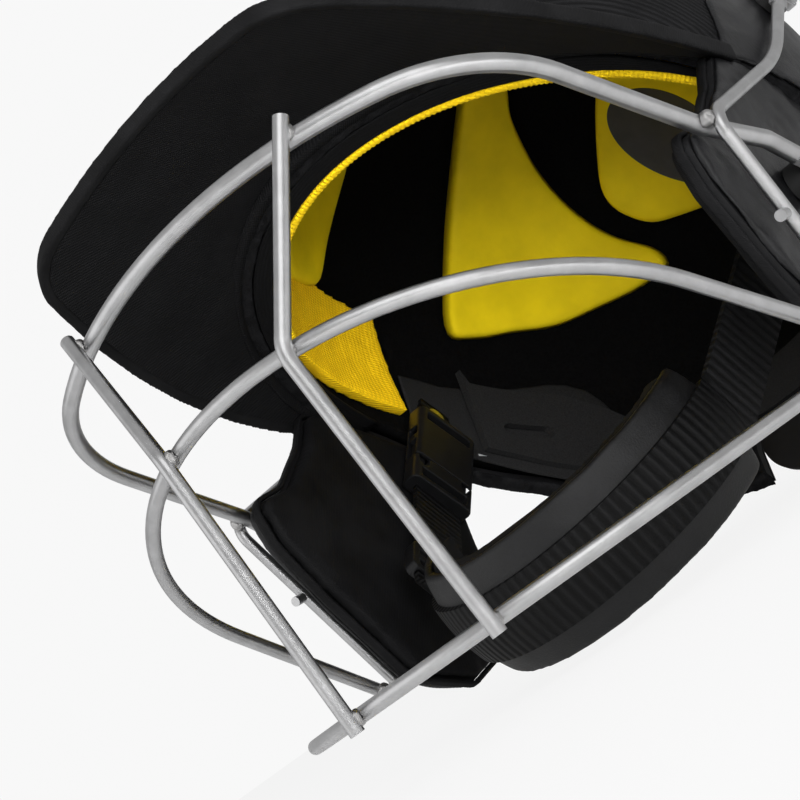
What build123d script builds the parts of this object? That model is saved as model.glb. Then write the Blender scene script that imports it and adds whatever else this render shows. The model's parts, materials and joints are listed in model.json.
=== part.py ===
from build123d import *
import math
import os

# Cricket helmet with a welded steel faceguard, in millimetres.
# Everything but the faceguard is drawn round the wearer's head: +X to the wearer's
# left, -Y forward, +Z up, with the origin at the middle of the head opening.
# The faceguard is drawn as the helmet stands, from the bend of its side rods.
# The last step tips the helmet back by its standing pitch and sets it on the floor.

stand_pitch_deg = 28.76

# General clearances
overrun = 40.0
layer_gap = 0.15
soft_gap = 0.3
run_gap = 0.08

# Shell and its lining
shell_half_width = 93.0
shell_half_length = 114.5
crown_height = 105.0
skirt_depth = 66.0
skirt_tuck = 5.0
cover_thickness = 1.2
shell_wall = 3.0
liner_wall = 4.0
liner_recess = 3.0
trim_width = 6.1
trim_height = 1.6
notch_radius = 17.5
button_radius = 8.0
button_height = 4.0
button_round = 2.6

# Rim line seen from the side: places forward of the middle, and heights
rim_temple_forward = 62.0
rim_ear_forward = 30.0
rim_quarter_back = 58.0
rim_front_up = -2.0
rim_temple_up = -4.5
rim_ear_up = -9.5
rim_mid_up = -13.0
rim_quarter_up = -27.0
rim_nape_up = -55.0

# Sweatband, its sewn edge and the ribbed elastic outside it
band_thickness = 5.0
band_top_up = 34.0
band_back = 7.0
band_end_slope = 9.0
band_low_side_up = -5.0
band_low_front_up = -0.5
elastic_back = -12.0
edge_height = 3.4
edge_roll = 1.6
elastic_thickness = 1.4

# Comfort pads
pad_thickness = 7.4
crown_pad_low = 32.0
rear_pad_low = 39.0
side_pad_low = 37.0
side_pad_high = 76.0
side_pad_back = 25.0
side_pad_front = 62.0
side_pad_inner = 43.0
pad_corner = 7.0
label_radius = 17.0
label_thickness = 0.5
label_x = 22.0
label_back = 64.0
pad_reach_x = 80.0
pad_reach_y = 100.0
crown_pad_shares = [(-0.17, 0.07), (-0.02, 0.20), (-0.20, 0.44), (-0.22, 0.63), (-0.15, 0.95),
                    (-0.60, 0.90), (-0.92, 0.42), (-0.86, 0.29), (-0.66, 0.27), (-0.36, 0.18)]
rear_pad_shares = [(0.28, 0.34), (0.17, 0.44), (-0.11, 0.66), (-0.13, 0.77), (-0.06, 0.86),
                   (0.05, 0.92), (0.40, 0.90), (0.78, 0.48), (0.60, 0.34)]

# Peak
peak_reach = 170.0
peak_front_half = 41.0
peak_corner_x = 59.0
peak_corner_forward = 159.0
peak_corner_bow_x = 10.3
peak_corner_bow_y = 3.0
peak_side_x = 72.0
peak_side_forward = 131.0
peak_end_x = 91.5
peak_end_forward = 34.0
peak_slope_deg = 11.3
peak_camber_radius = 165.0
peak_root_up = 5.0
peak_root_forward = 112.0
peak_core_thickness = 2.4
peak_cloth = 0.9
peak_binding_width = 2.6

# Ear guards, which lean in a little towards their lower ends
ear_lean_deg = 2.9
ear_top_x = 90.2
ear_cover_thickness = 1.6
ear_plate_thickness = 2.0
ear_pad_thickness = 5.0
ear_rim_gap = 0.6
ear_reach = 100.0
ear_drop = 100.0
ear_back = 20.0
ear_front_shares = [(0.63, -0.00), (0.70, -0.15), (0.84, -0.34), (0.99, -0.435),
                    (0.94, -0.585), (0.80, -0.755), (0.55, -1.0), (0.27, -0.985), (0.05, -0.83),
                    (0.0, -0.50)]
ear_corner = 7.0
ear_cover_edge = 0.6
ear_pad_edge = 2.2
piping_diameter = 3.0
piping_gap = 0.1
flap_thickness = 1.5
flap_top_up = 30.0
flap_back = 26.0
flap_front = 30.0
flap_low_up = -22.0

# Faceguard
datum_forward = 76.5
datum_up = -54.2
guard_stand_off = 2.0
arm_out = 2.4
foot_tuck = 5.5
foot_back = 14.4
side_rod_diameter = 3.6
top_bar_diameter = 4.6
low_bar_diameter = 3.9
strut_diameter = 3.9
top_plane_deg = 30.9
top_plane_rise = 1.0
top_front = 94.9
top_bow_radius = 137.3
top_bow_half = 61.1
top_corner_radius = 44.5
top_leg_end = 2.0
top_tail_deg = 76.0
top_tail_length = 21.0
lower_eye_back = 45.5
lower_spacer = 5.5
mid_plane_deg = 34.4
mid_plane_rise = -61.0
mid_front = 121.0
mid_bow_radius = 84.6
mid_bow_half = 60.2
mid_corner_radius = 76.0
mid_leg_end = 5.4
low_plane_rise = -67.4
low_front = 98.9
low_bow_radius = 75.8
low_bow_half = 50.4
low_corner_radius = 102.0
low_leg_end = 14.4
strut_top_x = 41.1
strut_bend_x = 21.2
strut_foot_x = 22.1
strut_over = 3.0
strut_bend_radius = 9.0
strut_bend_share = 1.12
arm_bend_radius = 100.0
mid_bead_share = 0.5
weld_crumb = 0.4
weld_gap = 0.25
bead_share = 0.46
bend_radius = 6.0
weld_radius = 2.9
bead_chamfer_share = 0.55
eye_radius = 6.2
eye_thickness = 2.4
arm_width = 5.0
upper_eye_forward = -4.0
upper_eye_up = 26.0
arm_knee_forward = 25.0
arm_knee_up = -14.0
peg_radius = 1.5
peg_length = 4.0
peg_share = 0.55

# Screws that hold the faceguard, with washers, rubber spacers and nuts
screw_radius = 2.0
screw_head_radius = 4.4
screw_head_height = 2.2
screw_slot_width = 1.1
screw_slot_depth = 1.0
washer_radius = 5.6
washer_thickness = 0.8
spacer_radius = 5.6
nut_radius = 4.2
nut_height = 2.4

# Size adjuster at the back of the head
cradle_wall = 2.4
cradle_run_gap = 0.4
cradle_front = 35.0
cradle_top_shares = [(0.27, 0.60), (0.36, 0.42), (0.58, 0.24), (0.66, 0.16), (0.75, -0.10),
                     (0.82, -0.42), (1.0, -0.52)]
cradle_low_shares = [(1.0, -1.0), (0.72, -0.90), (0.45, -0.55), (0.27, -0.45)]
cradle_rise = 32.0
slot_length = 17.0
slot_height = 5.0
slot_back = 52.0
slot_up = -8.0
slot_lean_deg = 12.0
strip_thickness = 1.2
strip_height = 8.0
strip_up = -12.0
strip_front = 33.0
strip_back = 60.0
strip_rivet_radius = 2.2
strip_rivet_head = 0.6
strip_rivet_back = 50.0
dial_radius = 12.5
dial_height = 6.5
dial_grip_count = 14
dial_grip_radius = 1.5
dial_up = -40.0
dial_post_radius = 3.0
dial_rim_gap = 0.3
housing_radius = 14.5
housing_depth = 3.2
housing_tongue_rise = 9.5

# Chin strap, hung from two pivot rivets
pivot_forward = -18.0
pivot_up = -3.0
hanger_thickness = 1.8
hanger_radius = 6.5
hanger_swing_gap = 0.5
rivet_radius = 2.2
rivet_head_radius = 4.0
rivet_head_height = 1.0
webbing_width = 19.0
webbing_thickness = 1.7
strap_bend_radius = 12.0
cup_forward = 40.0
cup_up = -100.0
cup_radius = 48.0
cup_tilt_deg = 44.2
cup_half_band = 17.5
cup_leather = 2.6
cup_padding = 5.4
left_hang = 9.0
left_hanger_length = 24.0
right_lean_deg = 27.0
right_hang = 4.6
right_bend_radius = 2.2
hanger_end_gap = 0.9
buckle_x = 74.8
socket_middle = 21.0
socket_length = 24.0
socket_width = 25.0
socket_thickness = 7.6
socket_wall = 1.5
buckle_corner = 2.2
plug_gap = 0.5
plug_base_length = 11.0
plug_slot_length = 3.6
prong_length = 14.0
prong_width = 3.4
prong_thickness = 3.6
prong_hook = 1.3
tongue_width = 4.6
turn_x = 61.0
turn_radius = 6.0
cup_turn_length = 8.0
web_turn_gap = 1.5
slider_share = 0.8
slider_length = 14.0
slider_width = 25.0
slider_bar = 2.6
slider_thickness = 4.2

os.makedirs("parts", exist_ok=True)
helmet = {}
guard = {}


def side_plane(x=0.0):
    # local x is forward and local y is up
    return Plane(origin=(x, 0, 0), x_dir=(0, -1, 0), z_dir=(-1, 0, 0))


def mirrored(shape):
    return mirror(shape, about=Plane.YZ)


def largest(shape):
    return max(shape.solids(), key=lambda s: s.volume)


def polygon(points, radius=0.0):
    face = make_face(Polyline(*points, close=True))
    return fillet(face.vertices(), radius) if radius else face


def through(sketch, reach=shell_half_width + overrun):
    # a side-view sketch pushed through the helmet both ways
    return extrude(side_plane() * sketch, amount=reach, both=True)


def dome(inset):
    # the shell's outer form, taken in by the same amount everywhere
    w = shell_half_width - inset
    h = crown_height - inset
    outline = [
        Line((0, h), (0, -skirt_depth)),
        Line((0, -skirt_depth), (w - skirt_tuck, -skirt_depth)),
        Line((w - skirt_tuck, -skirt_depth), (w, 0)),
        EllipticalCenterArc((0, 0), w, h, start_angle=0, arc_size=90),
    ]
    round_form = revolve(Plane.XZ * make_face(outline), axis=Axis.Z)
    return scale(round_form, by=(1, (shell_half_length - inset) / w, 1))


def shell_x(forward, up, inset=0.0):
    # the dome's half width at one place in the side view
    w = shell_half_width - inset
    if up < 0:
        w -= skirt_tuck * -up / skirt_depth
        lift = 0.0
    else:
        lift = up / (crown_height - inset)
    along = forward / (shell_half_length - inset)
    return w * math.sqrt(1 - along ** 2 - lift ** 2)


def rim_up(forward):
    # height of the straight runs of the rim line, for pieces that follow it
    places = rim_places()
    for (f0, u0), (f1, u1) in zip(places, places[1:]):
        if f0 <= forward <= f1:
            return u0 + (u1 - u0) * (forward - f0) / (f1 - f0)
    return rim_front_up


def rim_places():
    return [
        (-shell_half_length, rim_nape_up),
        (-rim_quarter_back, rim_quarter_up),
        (0.0, rim_mid_up),
        (rim_ear_forward, rim_ear_up),
        (rim_temple_forward, rim_temple_up),
        (shell_half_length, rim_front_up),
    ]


def above_rim(raised=0.0, back=shell_half_length + overrun, top=crown_height + overrun):
    # everything over a line parallel to the rim, from a place behind the middle
    front = shell_half_length + overrun
    line = [(-shell_half_length - overrun, rim_nape_up)] + rim_places() + [(front, rim_front_up)]
    line = [(f, u + raised) for f, u in line]
    over = polygon(line + [(front, top), (-shell_half_length - overrun, top)])
    keep = Pos((front - back) / 2, 0) * Rectangle(front + back, 2 * (top + skirt_depth + overrun))
    return through(over & keep)


def cross_bore(forward, up, radius):
    return through(Pos(forward, up) * Circle(radius))


def rear_bore(radius, up):
    return extrude(Location((0, shell_half_length, up), (90, 0, 0)) * Circle(radius),
                   amount=overrun, both=True)


def dome_layer(outer, thickness):
    return dome(outer) - dome(outer + thickness)


shell_out = cover_thickness + layer_gap
shell_in = shell_out + shell_wall
liner_out = shell_in + layer_gap
liner_in = liner_out + liner_wall
lining_out = liner_in + soft_gap
notch = rear_bore(notch_radius, dial_up)
notch += Pos(0, shell_half_length, dial_up - notch_radius) * Box(
    2 * notch_radius, 2 * overrun, 2 * notch_radius)
pivot_bore = cross_bore(pivot_forward, pivot_up, rivet_radius + run_gap)
eye_bore = cross_bore(upper_eye_forward, upper_eye_up, screw_radius + run_gap)
pocket_radius = nut_radius + soft_gap

# Shell, cloth cover, foam liner, rim trim and crown button
cover = dome_layer(0, cover_thickness) & above_rim(trim_height + layer_gap)
helmet["shell_cover"] = largest(cover - notch - eye_bore)
shell = dome_layer(shell_out, shell_wall) & above_rim(trim_height + layer_gap)
helmet["shell"] = largest(shell - notch - eye_bore - pivot_bore)
liner = dome_layer(liner_out, liner_wall) & above_rim(trim_height + liner_recess)
liner_notch = rear_bore(notch_radius + liner_recess, dial_up)
nut_pocket = cross_bore(upper_eye_forward, upper_eye_up, pocket_radius)
helmet["foam_liner"] = largest(liner - notch - liner_notch - nut_pocket - pivot_bore)
trim = dome_layer(0, trim_width) & (above_rim() - above_rim(trim_height))
helmet["rim_trim"] = largest(trim - notch)
button_foot = crown_height + layer_gap
button_top = crown_height + button_height
button = Pos(0, 0, (button_foot + button_top) / 2) * Cylinder(button_radius, button_top - button_foot)
helmet["crown_button"] = fillet(button.edges().group_by(Axis.Z)[-1], button_round)


def band_shape(low, high):
    # the sweatband seen from the side, between two heights over its lower edge line
    lower = [(-band_back, band_low_side_up), (rim_ear_forward, band_low_side_up),
             (shell_half_length, band_low_front_up)]
    if high is None:
        upper = [(shell_half_length, band_top_up), (-band_back + band_end_slope, band_top_up)]
    else:
        upper = [(f, u + high) for f, u in lower[::-1]]
    return through(polygon([(f, u + low) for f, u in lower] + upper))


edge_inset = lining_out + band_thickness - edge_roll
sweatband = dome_layer(lining_out, band_thickness) & band_shape(edge_height + layer_gap, None)
helmet["sweatband"] = largest(sweatband)
helmet["sweatband_edge"] = largest(dome_layer(edge_inset, edge_roll) & band_shape(0, edge_height))
elastic = dome_layer(trim_width + layer_gap, edge_inset - trim_width - 2 * layer_gap)
helmet["brow_elastic"] = largest(elastic & (above_rim(0, elastic_back)
                                            - above_rim(elastic_thickness, elastic_back)))

# Comfort pads on the liner


def plan_pad(shares, low):
    corners = [(x * pad_reach_x, y * pad_reach_y) for x, y in shares]
    prism = extrude(polygon(corners, pad_corner), amount=crown_height)
    above = Pos(0, 0, low) * extrude(Rectangle(2 * overrun * 3, 2 * overrun * 3), amount=crown_height)
    return largest(dome_layer(lining_out, pad_thickness) & prism & above)


helmet["crown_pad"] = plan_pad(crown_pad_shares, crown_pad_low)
rear_pad = plan_pad(rear_pad_shares, rear_pad_low)
pad_in = lining_out + pad_thickness
disc_prism = extrude(Pos(label_x, label_back) * Circle(label_radius), amount=crown_height)
label = dome_layer(pad_in - label_thickness, label_thickness) & disc_prism
helmet["pad_label_disc"] = largest(label)
helmet["rear_pad"] = largest(rear_pad - (dome(pad_in - label_thickness - layer_gap) & disc_prism))
side_outline = polygon([(side_pad_back, side_pad_high), (side_pad_back, side_pad_low),
                        (side_pad_front, side_pad_low)], pad_corner)
side_half = Pos(-shell_half_width, 0, crown_height / 2) * Box(
    2 * (shell_half_width - side_pad_inner), 2 * shell_half_length, crown_height)
side_pad = largest(dome_layer(lining_out, pad_thickness) & through(side_outline) & side_half)
helmet["side_pad_right"] = side_pad
helmet["side_pad_left"] = mirrored(side_pad)

# Peak: a cambered core between two cloths, with a binding round the edge
slope = math.radians(peak_slope_deg)
peak_plane = Plane(origin=(0, -peak_root_forward, peak_root_up), x_dir=(1, 0, 0),
                   z_dir=(0, -math.cos(slope), -math.sin(slope)))


def camber(top, thickness):
    # a curved sheet, its upper face so far below the peak's upper surface
    outer = peak_camber_radius - top
    centre = Pos(0, -peak_camber_radius)
    ring = centre * (Circle(outer) - Circle(outer - thickness))
    half = shell_half_width + overrun
    band = ring & (Pos(0, -half / 2 + overrun / 2) * Rectangle(2 * half, half + overrun))
    return extrude(peak_plane * band, amount=peak_reach, both=True)


def peak_side(sign):
    # the corner arc and the long side of the peak, seen from above; forward is -Y
    corner = ThreePointArc(
        (sign * peak_front_half, -peak_reach),
        (sign * (peak_front_half + peak_corner_bow_x), peak_corner_bow_y - peak_reach),
        (sign * peak_corner_x, -peak_corner_forward))
    side = Spline((sign * peak_corner_x, -peak_corner_forward),
                  (sign * peak_side_x, -peak_side_forward),
                  (sign * peak_end_x, -peak_end_forward))
    return corner, side


def moved_in(edge, share, sign, inset):
    tangent = edge % share
    return edge @ share + Vector(-tangent.Y, tangent.X) * sign * inset


def peak_plan(inset):
    front_y = inset - peak_reach
    edges = [Line((-peak_front_half, front_y), (peak_front_half, front_y))]
    ends = []
    for sign in (1, -1):
        corner, side = peak_side(sign)
        start = (sign * peak_front_half, front_y)
        turn = moved_in(side, 0, sign, inset)
        ends.append(moved_in(side, 1, sign, inset))
        edges.append(ThreePointArc(start, moved_in(corner, 1 / 2, sign, inset), turn))
        edges.append(Spline(turn, moved_in(side, 1 / 2, sign, inset), ends[-1]))
    edges.append(Line(*ends))
    return extrude(make_face(edges), amount=crown_height, both=True)


peak_total = peak_core_thickness + 2 * peak_cloth + 2 * layer_gap
behind = dome(-layer_gap)
inner_plan = peak_plan(peak_binding_width + layer_gap)
outer_plan = peak_plan(0)


def peak_sheet(top, thickness):
    return largest((camber(top, thickness) & inner_plan) - behind)


helmet["peak_upper_cloth"] = peak_sheet(0, peak_cloth)
helmet["peak_core"] = peak_sheet(peak_cloth + layer_gap, peak_core_thickness)
helmet["peak_lower_cloth"] = peak_sheet(peak_total - peak_cloth, peak_cloth)
binding_plan = outer_plan - peak_plan(peak_binding_width)
helmet["peak_binding"] = largest((camber(0, peak_total) & binding_plan) - behind)
room_plan = peak_plan(-soft_gap)
room_plan += Pos(0, soft_gap, 0) * room_plan
peak_room = camber(-soft_gap, peak_total + 2 * soft_gap) & room_plan

# Ear guards: cover, plate and pad in planes that lean inward going down
lean = math.radians(ear_lean_deg)
ear_plane = Plane(origin=(ear_top_x, 0, rim_mid_up), x_dir=(0, -1, 0),
                  z_dir=(-math.cos(lean), 0, math.sin(lean)))
ear_tops = [(-ear_back, rim_up(-ear_back) - rim_mid_up - ear_rim_gap),
            (0, -ear_rim_gap),
            (rim_ear_forward, rim_ear_up - rim_mid_up - ear_rim_gap)]
ear_points = [(f * ear_reach - ear_back, d * ear_drop + rim_ear_up - rim_mid_up - ear_rim_gap)
              for f, d in ear_front_shares]
ear_face = make_face(Polyline(*ear_tops, *ear_points, close=True))
ear_rounded = fillet([v for v in ear_face.vertices() if v.Y < ear_tops[0][1] - ear_corner
                      or v.X > rim_ear_forward + ear_corner], ear_corner)
ear_inner = offset(ear_rounded, amount=-piping_diameter / 2 - piping_gap)


def ear_sheet(face, out, thickness):
    return extrude(Pos(-out * math.cos(lean), 0, out * math.sin(lean)) * (ear_plane * face),
                   amount=thickness)


ear_rim_clear = above_rim(-layer_gap)
plate_at = ear_cover_thickness + layer_gap
pad_at = plate_at + ear_plate_thickness + layer_gap
ear_total = pad_at + ear_pad_thickness
def soft_edge(sheet, radius, inward):
    # rounds the edges of the face that looks in or out
    face = sheet.faces().sort_by(Axis.X)[0 if inward else -1]
    return fillet(face.edges(), radius)


ear_cover = soft_edge(ear_sheet(ear_inner, 0, ear_cover_thickness), ear_cover_edge, False)
ear_pad = soft_edge(ear_sheet(ear_inner, pad_at, ear_pad_thickness), ear_pad_edge, True)
ear_plate = ear_sheet(ear_inner, plate_at, ear_plate_thickness)
piping_plan = ear_rounded - offset(ear_rounded, amount=-piping_diameter / 2)
piping = ear_sheet(piping_plan, ear_total / 2 - piping_diameter / 2, piping_diameter)
flap_outline = polygon([(-flap_back, flap_low_up), (flap_front + ear_corner, flap_low_up),
                        (flap_front, flap_top_up / 2), (0, flap_top_up),
                        (-flap_back, flap_top_up)], ear_corner)
flap = dome_layer(-layer_gap - flap_thickness, flap_thickness) & through(flap_outline)
flap -= ear_sheet(offset(ear_rounded, amount=layer_gap), -overrun, overrun * 2)
flap = flap - eye_bore - peak_room
flap_solid = max((s for s in flap.solids() if s.center().X > 0), key=lambda s: s.volume)
helmet["ear_flap_left"] = flap_solid
helmet["ear_flap_right"] = mirrored(flap_solid)


# Faceguard. Each bar is half drawn in its own plane, then mirrored, so its legs
# always end at the side rods.
guard_half_width = shell_half_width + guard_stand_off
foot_x = guard_half_width - foot_tuck


def bar_plane(rise, fall_deg):
    # local y runs back along the bar's plane, which falls towards the back
    fall = math.radians(fall_deg)
    return Plane(origin=(0, 0, rise), x_dir=(1, 0, 0), z_dir=(0, math.sin(fall), math.cos(fall)))


def bar_edges(front, bow_radius, bow_half, corner_radius, end):
    # a bow across the face, a corner arc, and a leg that runs straight to its end
    sweep_angle = math.asin(bow_half / bow_radius)
    bow_end = Vector(bow_half, bow_radius - front - bow_radius * math.cos(sweep_angle))
    inward = Vector(-math.sin(sweep_angle), math.cos(sweep_angle))
    corner = bow_end + inward * corner_radius
    reach = Vector(*end) - corner
    turn = math.atan2(reach.Y, reach.X) - math.acos(corner_radius / reach.length)
    middle = (turn + sweep_angle - math.pi / 2) / 2
    leg_start = corner + Vector(math.cos(turn), math.sin(turn)) * corner_radius
    middle_point = corner + Vector(math.cos(middle), math.sin(middle)) * corner_radius
    bow = ThreePointArc((-bow_end.X, bow_end.Y), (0, -front), (bow_end.X, bow_end.Y))
    half = [ThreePointArc(bow_end, middle_point, leg_start), Line(leg_start, end)]
    return bow, half


def rod(path, diameter):
    # a round rod along a wire
    start = Plane(origin=path @ 0, z_dir=path % 0)
    return sweep(start * Circle(diameter / 2), path=path)


def bar_rod(plane, diameter, bow, half):
    # the bow between a half and its mirror image, carried to the bar's plane
    other = [mirror(e, about=Plane.YZ) for e in half]
    wire = Wire([e for line in other[::-1] + [bow] + half for e in (plane * line).edges()])
    return rod(wire, diameter)


def bar_point(plane, front, bow_radius, x):
    # a point on the bow of a bar
    local = Vector(x, bow_radius - front - math.sqrt(bow_radius ** 2 - x ** 2))
    return plane.from_local_coords(local)


top_plane = bar_plane(top_plane_rise, top_plane_deg)
mid_plane = bar_plane(mid_plane_rise, mid_plane_deg)
low_plane = bar_plane(low_plane_rise, 0)
side_radius = side_rod_diameter / 2

# The stand's datum is the bend of the side rods, so the helmet is placed from it
to_stand = Rot(-stand_pitch_deg, 0, 0) * Pos(0, datum_forward, -datum_up)


def stand_point(x, forward, up):
    # a head-side place seen in the standing frame
    return (to_stand * Pos(x, -forward, up)).position


upper_shell_in = shell_x(upper_eye_forward, upper_eye_up, shell_in)
arm_x = guard_half_width + arm_out
datum = Vector(guard_half_width, 0, 0)

# Bars
top_leg_x = guard_half_width - side_radius - top_bar_diameter / 2 - 2 * weld_gap
tail = math.radians(top_tail_deg)
tail_end = Vector(top_leg_x + top_tail_length * math.cos(tail),
                  top_leg_end + top_tail_length * math.sin(tail))
eye_place = Vector(tail_end.X, lower_eye_back)
top_bow, top_half = bar_edges(top_front, top_bow_radius, top_bow_half, top_corner_radius,
                              (top_leg_x, top_leg_end))
top_tail = FilletPolyline((top_leg_x, top_leg_end), (tail_end.X, tail_end.Y),
                          (eye_place.X, eye_place.Y), radius=bend_radius)
lower_eye = top_plane.from_local_coords(eye_place)


def flat_eye(place, thickness):
    # a flattened rod end with its screw hole, lying along X
    disc = Cylinder(eye_radius, thickness) - Cylinder(screw_radius + run_gap, overrun)
    return Location(place, (0, 90, 0)) * disc


def paddle(start, place, thickness, width):
    # the flattened run of rod that leads into an eye
    run = place - start
    plane = Plane(origin=start, x_dir=run, z_dir=(1, 0, 0))
    flat = Pos(run.length / 2, 0) * Rectangle(run.length, width)
    return extrude(plane * flat, amount=thickness / 2, both=True)


def eye_end(start, place):
    hole = Location(place, (0, 90, 0)) * Cylinder(screw_radius + run_gap, overrun)
    run = (place - start).normalized()
    inside = place - run * eye_radius / 2
    return flat_eye(place, eye_thickness) + (paddle(start, inside, eye_thickness, arm_width) - hole)


top_edges = top_half + list(top_tail.edges())
tail_stop = top_plane.from_local_coords(Vector(eye_place.X, eye_place.Y - eye_radius - arm_width))
last = top_tail.edges()[-1]
short_end = Vector(eye_place.X, eye_place.Y - eye_radius - arm_width / 2)
top_edges[-1] = Line(last @ 0, short_end)
top_rod = bar_rod(top_plane, top_bar_diameter, top_bow, top_edges)
left_eye = eye_end(tail_stop, lower_eye)
guard["top_bar"] = top_rod + left_eye + mirrored(left_eye)

low_end = (foot_x, low_leg_end + low_bar_diameter)
low_bow, low_half = bar_edges(low_front, low_bow_radius, low_bow_half, low_corner_radius, low_end)
guard["lowest_bar"] = bar_rod(low_plane, low_bar_diameter, low_bow, low_half)
mid_bow, mid_half = bar_edges(mid_front, mid_bow_radius, mid_bow_half, mid_corner_radius,
                              (foot_x, mid_leg_end))
guard["middle_bar"] = bar_rod(mid_plane, low_bar_diameter, mid_bow, mid_half)

# Struts, welded on in front of the bars
strut_radius = strut_diameter / 2
low_radius = low_bar_diameter / 2


def in_front(plane, front, bow_radius, x, stand, level):
    # a strut point off a bar's bow, square to the bar or level with the ground
    turn = math.asin(x / bow_radius)
    out = Vector(math.sin(turn), -math.cos(turn), 0)
    if not level:
        out = plane.from_local_coords(out) - plane.origin
    return bar_point(plane, front, bow_radius, x) + out * stand


strut_top = in_front(top_plane, top_front, top_bow_radius, strut_top_x,
                     top_bar_diameter / 2 + strut_radius + weld_gap, False)
strut_bend = in_front(mid_plane, mid_front, mid_bow_radius, strut_bend_x,
                      (low_radius + strut_radius) * strut_bend_share, True)
strut_foot = in_front(low_plane, low_front, low_bow_radius, strut_foot_x,
                      low_radius + strut_radius + weld_gap, True)
strut_head = strut_top + (strut_top - strut_bend).normalized() * strut_over
strut_toe = strut_foot + (strut_foot - strut_bend).normalized() * strut_over
strut = rod(Wire(FilletPolyline(strut_head, strut_bend, strut_toe, radius=strut_bend_radius).edges()),
            strut_diameter)
guard["strut_left"] = strut
guard["strut_right"] = mirrored(strut)

# Side rods: up from the lowest bar, bent at the datum and back along the helmet
side_foot = Vector(foot_x, foot_back, low_plane_rise + low_radius + 2 * weld_gap)
upper_eye = Vector(*stand_point(arm_x, upper_eye_forward, upper_eye_up))
arm_knee = Vector(*stand_point(arm_x, arm_knee_forward, arm_knee_up))
arm_run = (upper_eye - arm_knee).normalized()
arm_end = upper_eye - arm_run * (eye_radius + arm_width / 2)
side_path = FilletPolyline(side_foot, datum, arm_knee, arm_end, radius=[bend_radius, arm_bend_radius])
side_bare = rod(Wire(side_path.edges()), side_rod_diameter)
side_rod = side_bare + eye_end(arm_end - arm_run * arm_width / 2, upper_eye)
guard["side_rod_left"] = side_rod
guard["side_rod_right"] = mirrored(side_rod)

# A short peg welded to each side rod, and the weld beads where rods meet
peg_place = side_foot + (datum - side_foot) * peg_share
peg_plane = Plane(origin=peg_place + Vector(0, -side_radius, 0), z_dir=(0, -1, 0))
peg = largest(extrude(peg_plane * Circle(peg_radius), amount=peg_length) - side_bare)
guard["guard_pegs"] = Compound([peg, mirrored(peg)])
rods = [top_rod, guard["lowest_bar"], guard["middle_bar"], strut, side_bare]


def between(a, b, share=bead_share):
    return a + (b - a) * share


bead_places = [
    between(strut_top, bar_point(top_plane, top_front, top_bow_radius, strut_top_x)),
    between(strut_bend, bar_point(mid_plane, mid_front, mid_bow_radius, strut_bend_x)),
    between(strut_foot, bar_point(low_plane, low_front, low_bow_radius, strut_foot_x)),
    between(datum, top_plane.from_local_coords(Vector(top_leg_x, top_leg_end))),
    between(side_foot, Vector(foot_x, foot_back, low_plane_rise)),
    between(mid_plane.from_local_coords(Vector(foot_x, mid_leg_end)),
            Vector(low_half[-1].position_at(mid_bead_share).X, mid_leg_end, low_plane_rise)),
]
bead_form = Box(2 * weld_radius, 2 * weld_radius, 2 * weld_radius)
bead_form = chamfer(bead_form.edges(), weld_radius * bead_chamfer_share)
beads = []
for place in bead_places:
    bead = Pos(place) * bead_form
    for other in rods:
        bead = bead - other
    parts_left = [s for s in bead.solids() if s.volume > weld_crumb]
    beads += parts_left
    beads += [mirrored(s) for s in parts_left]
guard["weld_beads"] = Compound(beads)

# Screws, washers, spacers and nuts at the four eyes, drawn on the head side
from_stand = to_stand.inverse()
lower_head = (from_stand * Location(lower_eye)).position
lower_forward = -lower_head.Y
lower_up = lower_head.Z
lower_bore = cross_bore(lower_forward, lower_up, screw_radius + run_gap)


lower_nut_pocket = cross_bore(lower_forward, lower_up, pocket_radius)
for name, shape in (("ear_cover", ear_cover - lower_bore),
                    ("ear_plate", ear_plate - lower_bore),
                    ("ear_pad", ear_pad - lower_nut_pocket),
                    ("ear_piping", piping)):
    shape = largest(shape - ear_rim_clear - peak_room)
    helmet[name + "_left"] = shape
    helmet[name + "_right"] = mirrored(shape)


def along_x(forward, up, start, end, radius):
    run = Location(((start + end) / 2, -forward, up), (0, 90, 0))
    return run * Cylinder(radius, abs(end - start))


def hex_along_x(forward, up, start, end, radius):
    plane = Plane(origin=(start, -forward, up), z_dir=(1, 0, 0))
    return extrude(plane * RegularPolygon(radius, 6), amount=end - start)


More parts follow.
